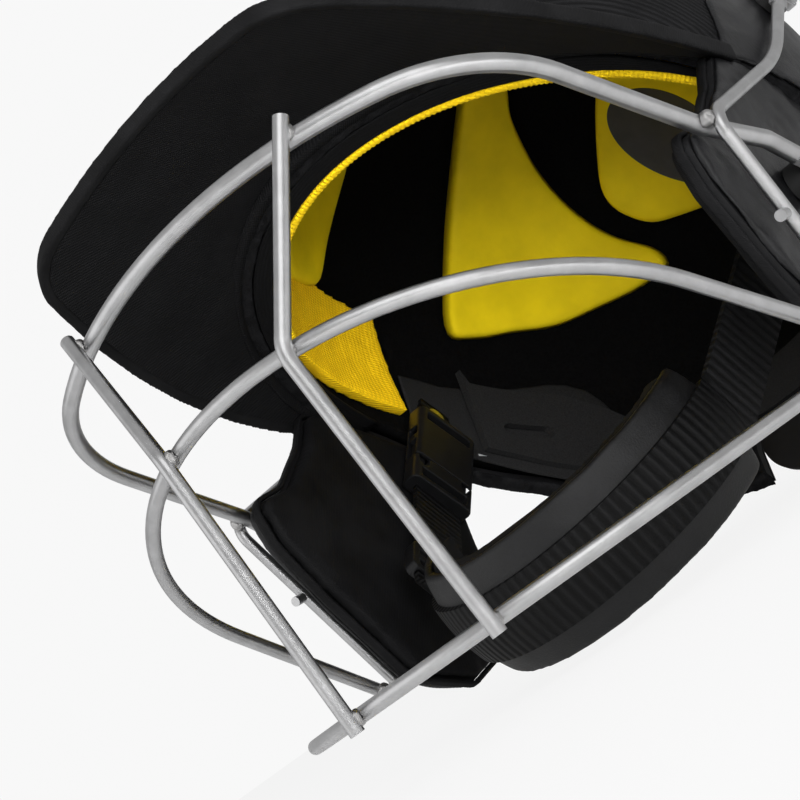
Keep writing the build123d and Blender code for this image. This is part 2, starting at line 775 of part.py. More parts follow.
ear_out_plane = ear_sheet(Pos(0, -ear_drop / 2) * Rectangle(3 * ear_reach, 3 * ear_drop),
                          -layer_gap, overrun)
ear_in_plane = ear_sheet(Pos(0, -ear_drop / 2) * Rectangle(3 * ear_reach, 3 * ear_drop),
                         pad_at, -overrun)
screws, washers, spacers, nuts = [], [], [], []
eye_half = eye_thickness / 2
for forward, up, x, seat, nut_out, nut_trim in (
        (upper_eye_forward, upper_eye_up, arm_x, dome(-flap_thickness - 2 * layer_gap),
         upper_shell_in, None),
        (lower_forward, lower_up, lower_eye.X, ear_out_plane,
         lower_eye.X - lower_spacer - pad_at - eye_half, ear_in_plane)):
    out = x + eye_half
    washer = along_x(forward, up, out, out + washer_thickness, washer_radius)
    washer -= cross_bore(forward, up, screw_radius + run_gap)
    washers.append(washer)
    under_head = out + washer_thickness
    head = along_x(forward, up, under_head, under_head + screw_head_height, screw_head_radius)
    head = fillet(head.edges().group_by(Axis.X)[-1], screw_head_height / 3)
    slot_at = under_head + screw_head_height
    head -= Pos(slot_at, -forward, up) * Box(2 * screw_slot_depth, 3 * screw_head_radius,
                                             screw_slot_width)
    spacer = along_x(forward, up, x - eye_half, x - eye_half - overrun / 4, spacer_radius)
    spacer = largest(spacer - seat - cross_bore(forward, up, screw_radius + run_gap))
    spacers.append(spacer)
    nut_x = nut_out
    nut = hex_along_x(forward, up, nut_x + nut_height, nut_x - nut_height, nut_radius)
    nut = nut & dome(shell_in + layer_gap) if nut_trim is None else nut - nut_trim
    nut -= cross_bore(forward, up, screw_radius + run_gap)
    nuts.append(largest(nut))
    shank = along_x(forward, up, nut_x - nut_height, under_head, screw_radius)
    screws.append(head + shank)
for name, group in (("guard_screws", screws), ("guard_washers", washers),
                    ("guard_spacers", spacers), ("guard_nuts", nuts)):
    helmet[name] = Compound(group + [mirrored(s) for s in group])

# Size adjuster: strips riveted to the lining, a cradle that slides between them,
# and a dial with its housing
strip_out = lining_out + strip_thickness
strip_shape = Pos(-(strip_front + strip_back) / 2, strip_up) * Rectangle(
    strip_back - strip_front, strip_height)
strip_bore = cross_bore(-strip_rivet_back, strip_up, strip_rivet_radius + run_gap)
strips = (dome_layer(lining_out, strip_thickness) & through(strip_shape)) - strip_bore
rivet_pin = cross_bore(-strip_rivet_back, strip_up, strip_rivet_radius)
rivet_cap = cross_bore(-strip_rivet_back, strip_up, strip_rivet_radius * 2)
rivets = rivet_pin & dome_layer(liner_out, strip_out - liner_out)
rivets += rivet_cap & dome_layer(strip_out, strip_rivet_head)
for side, sign in (("left", 1), ("right", -1)):
    helmet["adjuster_strip_" + side] = largest(
        Compound([s for s in strips.solids() if s.center().X * sign > 0]))
helmet["strip_rivets"] = Compound(rivets.solids())
helmet["foam_liner"] = largest(helmet["foam_liner"] - strip_bore)

cradle_inset = strip_out + strip_rivet_head + cradle_run_gap - skirt_tuck * strip_up / skirt_depth
cradle_half_width = shell_half_width - cradle_inset
cradle_half_length = shell_half_length - cradle_inset
tube = Ellipse(cradle_half_width, cradle_half_length) - Ellipse(
    cradle_half_width - cradle_wall, cradle_half_length - cradle_wall)
tube = extrude(tube, amount=skirt_depth, both=True)
cradle_line = [(-b * cradle_half_length, u * cradle_rise)
               for b, u in cradle_top_shares + cradle_low_shares]
cradle_line[0] = (-cradle_front, cradle_line[0][1])
cradle_line[-1] = (-cradle_front, cradle_line[-1][1])
behind_ears = [(f - overrun, u) if b == 1.0 else (f, u)
               for (f, u), (b, s) in zip(cradle_line, cradle_top_shares + cradle_low_shares)]
cradle_shape = polygon(behind_ears)
slot = Pos(-slot_back, slot_up) * Rot(0, 0, slot_lean_deg) * SlotOverall(slot_length, slot_height)
cradle = largest(tube & through(cradle_shape - slot))
housing_y = cradle_half_length + layer_gap
housing_disc = Location((0, housing_y + housing_depth / 2, dial_up), (90, 0, 0)) * Cylinder(
    housing_radius, housing_depth)
housing_tongue = Pos(0, housing_y + housing_depth / 2, dial_up + housing_tongue_rise) * Box(
    housing_radius, housing_depth, housing_radius)
helmet["cradle"] = cradle
rear_notch_out = housing_y + housing_depth
dial_y = rear_notch_out + dial_rim_gap
dial_disc = Location((0, dial_y + dial_height / 2, dial_up), (90, 0, 0)) * Cylinder(
    dial_radius, dial_height)
dial_disc = fillet(dial_disc.edges().group_by(Axis.Y)[-1], dial_grip_radius)
for step in range(dial_grip_count):
    turn = 2 * math.pi * step / dial_grip_count
    place = (dial_radius * math.cos(turn), dial_y + dial_height / 2,
             dial_up + dial_radius * math.sin(turn))
    dial_disc -= Location(place, (90, 0, 0)) * Cylinder(dial_grip_radius, 2 * dial_height)
helmet["size_dial"] = dial_disc - Location((0, dial_y, dial_up), (90, 0, 0)) * Cylinder(
    dial_post_radius + run_gap, dial_height)
post_end = dial_y + dial_height / 2 - run_gap
post = Location((0, (housing_y + post_end) / 2, dial_up), (90, 0, 0)) * Cylinder(
    dial_post_radius, post_end - housing_y)
helmet["dial_housing"] = largest(housing_disc + housing_tongue + post)

hanger_out_x = shell_x(pivot_forward - hanger_radius, pivot_up, liner_in) - hanger_swing_gap
hanger_out_x -= soft_gap
hanger_x = hanger_out_x - hanger_thickness / 2

# Chin strap. Each strap bends only about its own width, in a plane that holds +X.
left_reach = math.hypot(cup_forward - pivot_forward, pivot_up - cup_up)
left_lean_deg = math.degrees(math.atan2(cup_forward - pivot_forward, pivot_up - cup_up))


def strap_plane(forward, up, lean_deg):
    # local x runs down the strap and local y outward
    lean_rad = math.radians(lean_deg)
    down = (0, -math.sin(lean_rad), -math.cos(lean_rad))
    across = (0, -math.cos(lean_rad), math.sin(lean_rad))
    return Plane(origin=(0, -forward, up), x_dir=down, z_dir=across)


def strip_solid(plane, points, radii, thickness, width):
    path = FilletPolyline(*points, radius=radii)
    band = trace(path.edges(), thickness)
    return extrude(plane * band, amount=width / 2, both=True)


cup_plane = Plane(origin=(0, -cup_forward, cup_up), x_dir=(1, 0, 0),
                  z_dir=(0, -math.sin(math.radians(cup_tilt_deg)),
                         math.cos(math.radians(cup_tilt_deg))))


def cup_layer(out_radius, thickness, half_band):
    # half a turn of a spherical band
    ball = Sphere(out_radius) - Sphere(out_radius - thickness)
    keep = Pos(0, -out_radius / 2) * Box(2 * out_radius, out_radius, 2 * half_band)
    return cup_plane * largest(ball & keep)


helmet["chin_cup"] = cup_layer(cup_radius, cup_leather, cup_half_band)
cup_pad_out = cup_radius - cup_leather - layer_gap
helmet["chin_cup_pad"] = cup_layer(cup_pad_out, cup_padding, cup_half_band)
over_radius = cup_radius + layer_gap + webbing_thickness
helmet["cup_webbing"] = cup_layer(over_radius, webbing_thickness, webbing_width / 2)

strap_end_x = over_radius - webbing_thickness / 2
left_plane = strap_plane(pivot_forward, pivot_up, left_lean_deg)
hanger_end = left_hanger_length
slope_left = (hanger_x - strap_end_x) / (left_reach - left_hang)


def left_x(s):
    return hanger_x - slope_left * (s - left_hang)


hanger_left = strip_solid(left_plane, [(-hanger_radius, hanger_x), (left_hang, hanger_x),
                                       (hanger_end, left_x(hanger_end))],
                          strap_bend_radius, hanger_thickness, 2 * hanger_radius)
helmet["strap_hanger_left"] = largest(hanger_left - pivot_bore)
web_start = hanger_end + layer_gap * 2
webbing_left = extrude(left_plane * trace(
    Line((web_start, left_x(web_start)), (left_reach + webbing_thickness * 2,
                                          left_x(left_reach + webbing_thickness * 2))),
    webbing_thickness), amount=webbing_width / 2, both=True)
below_cup_end = cup_plane * (Pos(0, -overrun * 3 + soft_gap) * Box(
    overrun * 6, overrun * 6, overrun * 6))
helmet["webbing_left"] = largest(webbing_left - below_cup_end)

# The right side carries the buckle. It is drawn on the left and mirrored.
right_plane = strap_plane(pivot_forward, pivot_up, right_lean_deg)
socket_start = socket_middle - socket_length / 2
hanger_right = strip_solid(right_plane, [(-hanger_radius, hanger_x), (right_hang, hanger_x),
                                         (socket_start - hanger_end_gap, buckle_x)],
                           right_bend_radius, hanger_thickness, 2 * hanger_radius)
helmet["strap_hanger_right"] = mirrored(largest(hanger_right - pivot_bore))
down = Vector(right_plane.x_dir)
buckle_origin = right_plane.from_local_coords(Vector(socket_middle, buckle_x))
buckle = Plane(origin=buckle_origin, x_dir=down, z_dir=(1, 0, 0))
half_socket = socket_length / 2
cavity_height = socket_thickness - 2 * socket_wall
cavity_width = socket_width - 2 * socket_wall
socket = fillet(Box(socket_length, socket_width, socket_thickness).edges().filter_by(Axis.X),
                buckle_corner)
cavity_deep = prong_length + prong_hook
socket -= Pos(half_socket - cavity_deep / 2 + overrun / 2, 0) * Box(
    cavity_deep + overrun, cavity_width, cavity_height)
window_height = prong_thickness + 2 * soft_gap
window_deep = prong_length + soft_gap
socket -= Pos(half_socket - window_deep / 2 + overrun / 2, 0) * Box(
    window_deep + overrun, 2 * socket_width, window_height)
socket -= Pos(-half_socket + plug_slot_length, 0) * Box(
    plug_slot_length, webbing_width, 2 * socket_thickness)
plug_start = half_socket + plug_gap
plug_middle = plug_start + plug_base_length / 2
plug_base = fillet(Box(plug_base_length, socket_width, socket_thickness).edges().filter_by(Axis.X),
                   buckle_corner)
prong_y = cavity_width / 2 - soft_gap - prong_width / 2
hinge_at = plug_start + prong_width / 2 + soft_gap
plug = Pos(plug_middle, 0) * plug_base
plug -= Pos(plug_middle + plug_slot_length / 2, 0) * Box(plug_slot_length, webbing_width,
                                                         2 * socket_thickness)
plug += Pos(plug_start - prong_length / 2, 0) * Box(prong_length, tongue_width, prong_thickness)
for sign in (-1, 1):
    seat = Pos(hinge_at, sign * prong_y) * Cylinder(prong_width / 2 + soft_gap, 2 * socket_thickness)
    mouth = Pos(hinge_at - prong_width, sign * prong_y) * Box(
        2 * prong_width, prong_width + 2 * soft_gap, 2 * socket_thickness)
    plug = plug - seat - mouth


def prong(sign):
    tip = plug_start - prong_length
    arm = Pos((hinge_at + tip) / 2, sign * prong_y) * Box(hinge_at - tip, prong_width, prong_thickness)
    root = Pos(hinge_at, sign * prong_y) * Cylinder(prong_width / 2, prong_thickness)
    hook_out = sign * (prong_y + prong_width / 2)
    hook = make_face(Polyline((tip, hook_out), (tip + prong_hook * 2, hook_out + sign * prong_hook),
                              (tip + prong_hook * 4, hook_out + sign * prong_hook),
                              (tip + prong_hook * 4, hook_out - sign * prong_hook),
                              (tip, hook_out - sign * prong_hook), close=True))
    return arm + root + extrude(hook, amount=prong_thickness / 2, both=True)


for name, shape in (("buckle_socket", socket), ("buckle_plug", plug),
                    ("prong_rear", prong(1)), ("prong_front", prong(-1))):
    helmet[name] = mirrored(largest(buckle * shape))

lower_start = socket_middle + plug_start + plug_base_length + web_turn_gap
lower_origin = right_plane.from_local_coords(Vector(lower_start, 0))
lower_reach_f = cup_forward + lower_origin.Y
lower_reach_u = lower_origin.Z - cup_up
lower_lean_deg = math.degrees(math.atan2(lower_reach_f, lower_reach_u))
lower_reach = math.hypot(lower_reach_f, lower_reach_u)
lower_plane = strap_plane(-lower_origin.Y, lower_origin.Z, lower_lean_deg)
lower_turn = lower_reach - cup_turn_length
lower_web = strip_solid(lower_plane, [(0, buckle_x), (lower_turn, turn_x),
                                      (lower_reach + webbing_thickness,
                                       strap_end_x - webbing_thickness)],
                        turn_radius, webbing_thickness, webbing_width)
helmet["webbing_right"] = mirrored(largest(lower_web - below_cup_end))

# Ladder slider: a frame with three bars round the webbing
slide_run = Vector(lower_turn, turn_x - buckle_x)
slider_place = Vector(0, buckle_x) + slide_run * slider_share
slider_along = (lower_plane.from_local_coords(slide_run)
                - lower_plane.from_local_coords(Vector(0, 0))).normalized()
slider_origin = lower_plane.from_local_coords(slider_place)
slider_out = slider_along.cross(Vector(lower_plane.z_dir))
slider_plane = Plane(origin=slider_origin, x_dir=slider_along, z_dir=slider_out)
slider = fillet(Box(slider_length, slider_width, slider_thickness).edges().filter_by(Axis.Z),
                buckle_corner)
gap_height = webbing_thickness + 2 * run_gap
slider -= Box(2 * slider_length, webbing_width + 2 * soft_gap, gap_height)
slot_long = (slider_length - 3 * slider_bar) / 2
for sign in (-1, 1):
    slider -= Pos(sign * (slider_bar + slot_long) / 2, 0) * Box(
        slot_long, webbing_width + 2 * soft_gap, 2 * slider_thickness)
helmet["ladder_slider"] = mirrored(slider_plane * largest(slider))

# Pivot rivets
rivet_in = hanger_out_x - hanger_thickness - layer_gap
shank = along_x(pivot_forward, pivot_up, rivet_in - rivet_head_height, shell_half_width + overrun,
                rivet_radius) & dome(shell_out)
rivet = shank + along_x(pivot_forward, pivot_up, rivet_in - rivet_head_height, rivet_in,
                        rivet_head_radius)
helmet["pivot_rivets"] = Compound([largest(rivet), mirrored(largest(rivet))])

# Stand the helmet on the floor
placed = {name: to_stand * shape for name, shape in helmet.items()}
placed.update(guard)
corners = [shape.bounding_box() for shape in placed.values()]
low = Vector(min(b.min.X for b in corners), min(b.min.Y for b in corners),
             min(b.min.Z for b in corners))
high = Vector(max(b.max.X for b in corners), max(b.max.Y for b in corners),
              max(b.max.Z for b in corners))
to_floor = Pos(0, -(low.Y + high.Y) / 2, -low.Z)
for name, shape in placed.items():
    export_step(to_floor * shape, f"parts/{name}.step")


def report(name, place, along=None):
    # a joint's place and axis in the finished frame, in millimetres
    whole = to_floor * to_stand
    spot = (whole * Location(place)).position
    if along is None:
        print(name, [round(v, 3) for v in spot])
        return
    tip = (whole * Location(Vector(*place) + Vector(*along))).position
    print(name, [round(v, 3) for v in spot], "along", [round(v, 5) for v in (tip - spot)])


def on_right(v):
    return (-v.X, v.Y, v.Z)


report("head centre", (0, 0, 0))
report("strap pivot", (0, -pivot_forward, pivot_up), (1, 0, 0))
report("cradle slide and dial", (0, dial_y, dial_up), (0, 1, 0))
report("plug slide", on_right(buckle_origin), on_right(down))
for sign, name in ((1, "rear"), (-1, "front")):
    spot = buckle.from_local_coords(Vector(hinge_at, sign * prong_y))
    report("prong " + name, on_right(spot), (1, 0, 0))
report("slider slide", on_right(slider_origin), on_right(slider_along))
print("floor shift", [round(v, 3) for v in to_floor.position])
print("size", [round(v, 2) for v in (high - low)])
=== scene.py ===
import bmesh
import bpy
import json
import math
from mathutils import Matrix, Vector, geometry, noise

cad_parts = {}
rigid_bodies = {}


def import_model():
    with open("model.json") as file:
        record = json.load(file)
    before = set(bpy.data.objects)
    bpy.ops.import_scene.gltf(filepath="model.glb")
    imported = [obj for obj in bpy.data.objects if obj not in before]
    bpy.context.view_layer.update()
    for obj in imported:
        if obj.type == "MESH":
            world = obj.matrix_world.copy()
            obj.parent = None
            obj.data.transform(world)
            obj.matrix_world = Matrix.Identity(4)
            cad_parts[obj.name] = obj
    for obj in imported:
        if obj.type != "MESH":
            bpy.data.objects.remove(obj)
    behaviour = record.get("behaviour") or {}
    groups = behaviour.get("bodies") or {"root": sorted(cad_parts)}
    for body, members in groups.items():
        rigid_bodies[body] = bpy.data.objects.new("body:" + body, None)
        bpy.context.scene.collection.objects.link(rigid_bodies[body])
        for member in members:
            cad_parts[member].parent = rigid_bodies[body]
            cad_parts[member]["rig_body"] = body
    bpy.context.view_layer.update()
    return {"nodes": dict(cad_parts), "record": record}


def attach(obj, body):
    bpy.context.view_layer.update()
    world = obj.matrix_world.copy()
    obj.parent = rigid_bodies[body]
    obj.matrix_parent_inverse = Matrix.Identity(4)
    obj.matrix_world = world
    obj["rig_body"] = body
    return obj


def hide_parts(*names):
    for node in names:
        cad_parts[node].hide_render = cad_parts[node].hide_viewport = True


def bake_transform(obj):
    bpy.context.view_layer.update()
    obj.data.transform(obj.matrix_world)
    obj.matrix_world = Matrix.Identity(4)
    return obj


# Looks of a cricket helmet that stands tipped back on a table. Lengths are in metres.
# Places on the helmet are given round the wearer's head: x to the wearer's left, then
# forward, then up, from the middle of the head opening.

MM = 0.001

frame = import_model()
nodes = frame["nodes"]

stand_pitch = math.radians(28.76)
head_centre = Vector((0.0, 42.24 * MM, 99.73 * MM))
forward_way = Vector((0.0, -math.cos(stand_pitch), math.sin(stand_pitch)))
up_way = Vector((0.0, math.sin(stand_pitch), math.cos(stand_pitch)))


def on_helmet(x, forward, up):
    return head_centre + Vector((x, 0.0, 0.0)) + forward_way * forward + up_way * up


def round_head(point):
    away = point - head_centre
    return away.x, away.dot(forward_way), away.dot(up_way)


# Finishes

# the length of one band of a wave texture whose scale is 1
wave_length_at_one = math.pi / 10


class Finish:
    """A material with its shader, and short ways to the nodes that its texture needs."""

    def __init__(self, name, colour, roughness, metal=0.0):
        self.material = bpy.data.materials.new(name)
        self.material.use_nodes = True
        self.tree = self.material.node_tree
        self.shader = self.tree.nodes["Principled BSDF"]
        self.set(Base_Color=(*colour, 1.0), Roughness=roughness, Metallic=metal)
        self.colour = colour
        self.places = self.node("ShaderNodeTexCoord").outputs["Object"]
        self.normal = None

    def set(self, **values):
        for name, value in values.items():
            self.shader.inputs[name.replace("_", " ")].default_value = value

    def node(self, kind, **settings):
        made = self.tree.nodes.new(kind)
        for name, value in settings.items():
            setattr(made, name, value)
        return made

    def link(self, out, socket):
        self.tree.links.new(out, socket)

    def turned(self, angles):
        mapping = self.node("ShaderNodeMapping")
        mapping.inputs["Rotation"].default_value = [math.radians(a) for a in angles]
        self.link(self.places, mapping.inputs["Vector"])
        return mapping.outputs["Vector"]

    def waves(self, places, pitch, way="X", wobble=0.0, detail_size=2.0):
        wave = self.node("ShaderNodeTexWave", bands_direction=way)
        wave.inputs["Scale"].default_value = wave_length_at_one / pitch
        wave.inputs["Distortion"].default_value = wobble
        wave.inputs["Detail Scale"].default_value = detail_size
        self.link(places, wave.inputs["Vector"])
        return wave.outputs["Fac"]

    def grain(self, size, detail=3.0, roughness=0.55):
        texture = self.node("ShaderNodeTexNoise")
        texture.inputs["Scale"].default_value = 1 / size
        texture.inputs["Detail"].default_value = detail
        texture.inputs["Roughness"].default_value = roughness
        self.link(self.places, texture.inputs["Vector"])
        return texture.outputs["Fac"]

    def cells(self, size):
        texture = self.node("ShaderNodeTexVoronoi")
        texture.inputs["Scale"].default_value = 1 / size
        self.link(self.places, texture.inputs["Vector"])
        return texture.outputs["Distance"]

    def sum(self, first, second, kind="ADD"):
        step = self.node("ShaderNodeMath", operation=kind)
        self.link(first, step.inputs[0])
        if isinstance(second, float):
            step.inputs[1].default_value = second
        else:
            self.link(second, step.inputs[1])
        return step.outputs["Value"]

    def spread(self, value, low, high, out_low, out_high):
        step = self.node("ShaderNodeMapRange")
        for name, number in (("From Min", low), ("From Max", high),
                             ("To Min", out_low), ("To Max", out_high)):
            step.inputs[name].default_value = number
        self.link(value, step.inputs["Value"])
        return step.outputs["Result"]

    def shade(self, value, dark, light, low=0.0, high=1.0):
        # the colour runs from dark to light shares of the finish's own colour
        ramp = self.node("ShaderNodeValToRGB")
        ends = ramp.color_ramp.elements
        for end, place, share in ((ends[0], low, dark), (ends[1], high, light)):
            end.position = place
            end.color = (*[min(1.0, c * share) for c in self.colour], 1.0)
        self.link(value, ramp.inputs["Fac"])
        self.link(ramp.outputs["Color"], self.shader.inputs["Base Color"])
        return ramp.outputs["Color"]

    def rough(self, value, low, high):
        self.link(self.spread(value, 0.0, 1.0, low, high), self.shader.inputs["Roughness"])

    def raise_by(self, height, depth, strength=1.0):
        bump = self.node("ShaderNodeBump")
        bump.inputs["Strength"].default_value = strength
        bump.inputs["Distance"].default_value = depth
        self.link(height, bump.inputs["Height"])
        if self.normal:
            self.link(self.normal, bump.inputs["Normal"])
        self.normal = bump.outputs["Normal"]
        self.link(self.normal, self.shader.inputs["Normal"])


def twill_cloth():
    cloth = Finish("black_twill", colour=(0.0056, 0.0056, 0.006), roughness=0.82)
    cloth.set(Specular_IOR_Level=0.14)
    rib_angle = 38
    thread_angle = rib_angle - 90
    ribs = cloth.waves(cloth.turned((0, 0, rib_angle)), pitch=0.9 * MM, wobble=0.6, detail_size=3.0)
    threads = cloth.waves(cloth.turned((0, 0, thread_angle)), pitch=0.5 * MM, wobble=0.4)
    soft = cloth.grain(size=14 * MM)
    cloth.shade(cloth.sum(ribs, soft, "MULTIPLY"), dark=0.6, light=1.7, low=0.05, high=0.6)
    cloth.raise_by(soft, depth=1.2 * MM, strength=0.5)
    cloth.raise_by(ribs, depth=0.14 * MM)
    cloth.raise_by(threads, depth=0.06 * MM)
    return cloth.material


def brushed_welt():
    welt = Finish("brushed_welt", colour=(0.0075, 0.0075, 0.008), roughness=0.95)
    welt.set(Specular_IOR_Level=0.1)
    fibres = welt.grain(size=0.55 * MM, detail=5.0, roughness=0.75)
    clumps = welt.grain(size=3.0 * MM, detail=3.0)
    welt.shade(welt.sum(fibres, clumps, "MULTIPLY"), dark=0.4, light=2.8, low=0.12, high=0.5)
    welt.raise_by(clumps, depth=0.5 * MM, strength=0.6)
    welt.raise_by(fibres, depth=0.4 * MM)
    return welt.material


def ribbed_elastic():
    band = Finish("ribbed_elastic", colour=(0.0036, 0.0036, 0.0038), roughness=0.75)
    band.set(Specular_IOR_Level=0.12)
    threads = band.grain(size=0.4 * MM, detail=2.0)
    band.shade(threads, dark=0.5, light=2.2, low=0.3, high=0.75)
    band.raise_by(threads, depth=0.1 * MM)
    return band.material


rib_pitch = 2.9 * MM
strap_run = Vector((0.0, -0.83, -0.47))
# the circle that the webbing over the chin cup runs along
cup_middle = Vector((0.0, -40.97, 31.3)) * MM
cup_radius = 48.4 * MM
cup_tilt = -15.44


def ribbed_webbing(web, ribs):
    web.set(Specular_IOR_Level=0.22)
    threads = web.grain(size=0.45 * MM, detail=3.0)
    # the ribs also set the colour: painted shade in the grooves and painted highlights on the ridges; the
    # fine threads are the webbing's own tone
    web.shade(web.sum(ribs, threads, "MULTIPLY"), dark=0.45, light=2.6, low=0.1, high=0.65)
    web.raise_by(ribs, depth=0.45 * MM)
    web.raise_by(threads, depth=0.15 * MM)
    return web.material


def strap_webbing():
    # ribs lie across the run of the strap
    web = Finish("strap_webbing", colour=(0.0034, 0.0034, 0.0036), roughness=0.6)
    along_strap = strap_run.normalized().rotation_difference(Vector((1, 0, 0))).to_euler()
    places = web.turned([math.degrees(a) for a in along_strap])
    return ribbed_webbing(web, web.waves(places, rib_pitch, wobble=0.35, detail_size=3.0))


def cup_webbing():
    # ribs lie across a strap that is bent round the cup
    web = Finish("cup_webbing", colour=(0.0019, 0.0019, 0.002), roughness=0.6)
    places = web.turned((cup_tilt, 0, 0))
    tilt = Matrix.Rotation(math.radians(cup_tilt), 3, "X")
    places.node.inputs["Location"].default_value = -(tilt @ cup_middle)
    turn = web.node("ShaderNodeTexGradient", gradient_type="RADIAL")
    web.link(places, turn.inputs["Vector"])
    ribs_round = round(2 * math.pi * cup_radius / rib_pitch)
    angle = web.sum(turn.outputs["Fac"], 2 * math.pi * ribs_round, "MULTIPLY")
    ridge = web.sum(angle, 0.0, "SINE")
    return ribbed_webbing(web, web.spread(ridge, low=-1.0, high=1.0, out_low=0.0, out_high=1.0))


def knitted_yellow(name, colour):
    knit = Finish(name, colour, roughness=0.9)
    knit.set(Specular_IOR_Level=0.15)
    column_angle = 30
    upright = knit.turned((math.degrees(stand_pitch), 0, 0))
    rows = knit.waves(upright, pitch=0.95 * MM, way="Z", wobble=0.8, detail_size=3.0)
    columns = knit.waves(knit.turned((0, 0, column_angle)), pitch=1.1 * MM, way="X", wobble=0.8)
    loops = knit.sum(rows, columns, "MULTIPLY")
    uneven = knit.sum(loops, knit.grain(size=9 * MM), "ADD")
    knit.shade(uneven, dark=0.72, light=1.1, low=0.25, high=1.1)
    knit.raise_by(knit.grain(size=10 * MM), depth=0.6 * MM, strength=0.4)
    knit.raise_by(loops, depth=0.22 * MM)
    return knit.material


def skinned_foam():
    foam = Finish("yellow_foam", colour=(0.88, 0.665, 0.008), roughness=0.62)
    foam.set(Specular_IOR_Level=0.2)
    pores = foam.grain(size=0.7 * MM, detail=4.0)
    foam.shade(foam.grain(size=16 * MM, detail=3.0), dark=0.88, light=1.06, low=0.3, high=0.75)
    foam.raise_by(foam.grain(size=9 * MM), depth=0.4 * MM, strength=0.3)
    foam.raise_by(pores, depth=0.06 * MM)
    return foam.material


def closed_foam():
    foam = Finish("black_foam", colour=(0.0022, 0.0022, 0.0023), roughness=0.9)
    foam.set(Specular_IOR_Level=0.06)
    pores = foam.cells(size=1.1 * MM)
    foam.shade(pores, dark=0.6, light=1.5, low=0.1, high=0.7)
    foam.raise_by(pores, depth=0.12 * MM)
    return foam.material


def creased_leather(name, colour, low_rough, high_rough, crease):
    hide = Finish(name, colour, roughness=low_rough)
    hide.set(Specular_IOR_Level=0.45)
    grain = hide.grain(size=0.6 * MM, detail=3.0, roughness=0.7)
    creases = hide.grain(size=9 * MM, detail=4.0)
    # the creases also set the colour: painted shade in their hollows and painted highlights on their
    # crests; the fine grain is the leather's own tone
    hide.shade(hide.sum(creases, grain, "MULTIPLY"), dark=0.4, light=2.2, low=0.12, high=0.45)
    hide.rough(creases, low_rough, high_rough)
    hide.raise_by(creases, depth=crease, strength=0.45)
    hide.raise_by(grain, depth=0.12 * MM)
    return hide.material


def smooth_lining():
    lining = Finish("smooth_lining", colour=(0.0042, 0.0042, 0.0045), roughness=0.7)
    lining.set(Specular_IOR_Level=0.16)
    thread_turn = (0, 40, 25)
    threads = lining.waves(lining.turned(thread_turn), pitch=0.45 * MM, wobble=0.5)
    lining.shade(lining.grain(size=16 * MM), dark=0.7, light=1.6, low=0.3, high=0.7)
    lining.raise_by(lining.grain(size=11 * MM), depth=0.7 * MM, strength=0.35)
    lining.raise_by(threads, depth=0.05 * MM)
    return lining.material


def nape_cloth():
    cloth = Finish("nape_cloth", colour=(0.0125, 0.0125, 0.0128), roughness=0.9)
    cloth.set(Specular_IOR_Level=0.12)
    specks = cloth.grain(size=0.5 * MM, detail=4.0, roughness=0.7)
    cloth.shade(specks, dark=0.5, light=1.9, low=0.25, high=0.75)
    cloth.raise_by(specks, depth=0.12 * MM)
    return cloth.material


def moulded_plastic(name, colour, roughness, gloss=0.35):
    smoother = 0.08
    rougher = 0.12
    plastic = Finish(name, colour, roughness)
    plastic.set(Specular_IOR_Level=gloss)
    sparks = plastic.grain(size=0.35 * MM, detail=2.0)
    plastic.shade(plastic.grain(size=8 * MM), dark=0.85, light=1.2, low=0.3, high=0.7)
    plastic.rough(plastic.grain(size=5 * MM), roughness - smoother, roughness + rougher)
    plastic.raise_by(sparks, depth=0.03 * MM)
    return plastic.material


def satin_steel(name, colour, low_rough, high_rough, dimple):
    steel = Finish(name, colour, roughness=low_rough, metal=1.0)
    brushed = steel.grain(size=0.25 * MM, detail=2.0)
    smears = steel.grain(size=6 * MM, detail=4.0)
    steel.shade(smears, dark=0.88, light=1.08, low=0.3, high=0.7)
    steel.rough(smears, low_rough, high_rough)
    steel.raise_by(brushed, dimple)
    return steel.material


finishes = {
    "black_cloth": twill_cloth(),
    "fleece": brushed_welt(),
    "elastic": ribbed_elastic(),
    "webbing": strap_webbing(),
    "cup_webbing": cup_webbing(),
    "yellow_knit": knitted_yellow("yellow_knit", (0.97, 0.575, 0.009)),
    "yellow_edge": knitted_yellow("yellow_edge", (0.98, 0.62, 0.01)),
    "yellow_foam": skinned_foam(),
    "black_foam": closed_foam(),
    "black_leather": creased_leather("creased_leather", (0.0045, 0.0045, 0.005), low_rough=0.27,
                                     high_rough=0.5, crease=1.1 * MM),
    "cup_leather": creased_leather("cup_leather", (0.0034, 0.0034, 0.0036), low_rough=0.33,
                                   high_rough=0.58, crease=0.3 * MM),
    "lining": smooth_lining(),
    "shell_plastic": moulded_plastic("shell_plastic", (0.0075, 0.0075, 0.008), roughness=0.6, gloss=0.25),
    "buckle_plastic": moulded_plastic("buckle_plastic", (0.005, 0.005, 0.0054), roughness=0.36),
    "label": moulded_plastic("bare_disc", (0.045, 0.045, 0.046), roughness=0.5),
    "spacer_rubber": moulded_plastic("spacer_rubber", (0.007, 0.007, 0.007), roughness=0.6),
    "grey_plastic": moulded_plastic("grey_strip", (0.36, 0.36, 0.37), roughness=0.4),
    "nape_cloth": nape_cloth(),
    "steel": satin_steel("satin_steel", (0.62, 0.62, 0.625), low_rough=0.27, high_rough=0.4,
                         dimple=0.012 * MM),
    "weld": satin_steel("weld_steel", (0.54, 0.535, 0.53), low_rough=0.34, high_rough=0.5,
                        dimple=0.06 * MM),
}
slot_of_node = {s["node"]: s["material_slot"] for s in frame["record"]["subparts"]}
for node, slot in slot_of_node.items():
    nodes[node].data.materials.clear()
    nodes[node].data.materials.append(finishes["nape_cloth" if node == "cradle" else slot])


# Dressing the soft and moulded pieces


def put(name, shape, slot, body, finish=None, *replaced):
    # a finished bmesh becomes a piece that rides on its body
    mesh = bpy.data.meshes.new(name)
    shape.to_mesh(mesh)
    shape.free()
    return dress(bpy.data.objects.new(name, mesh), slot, body, finish, *replaced)


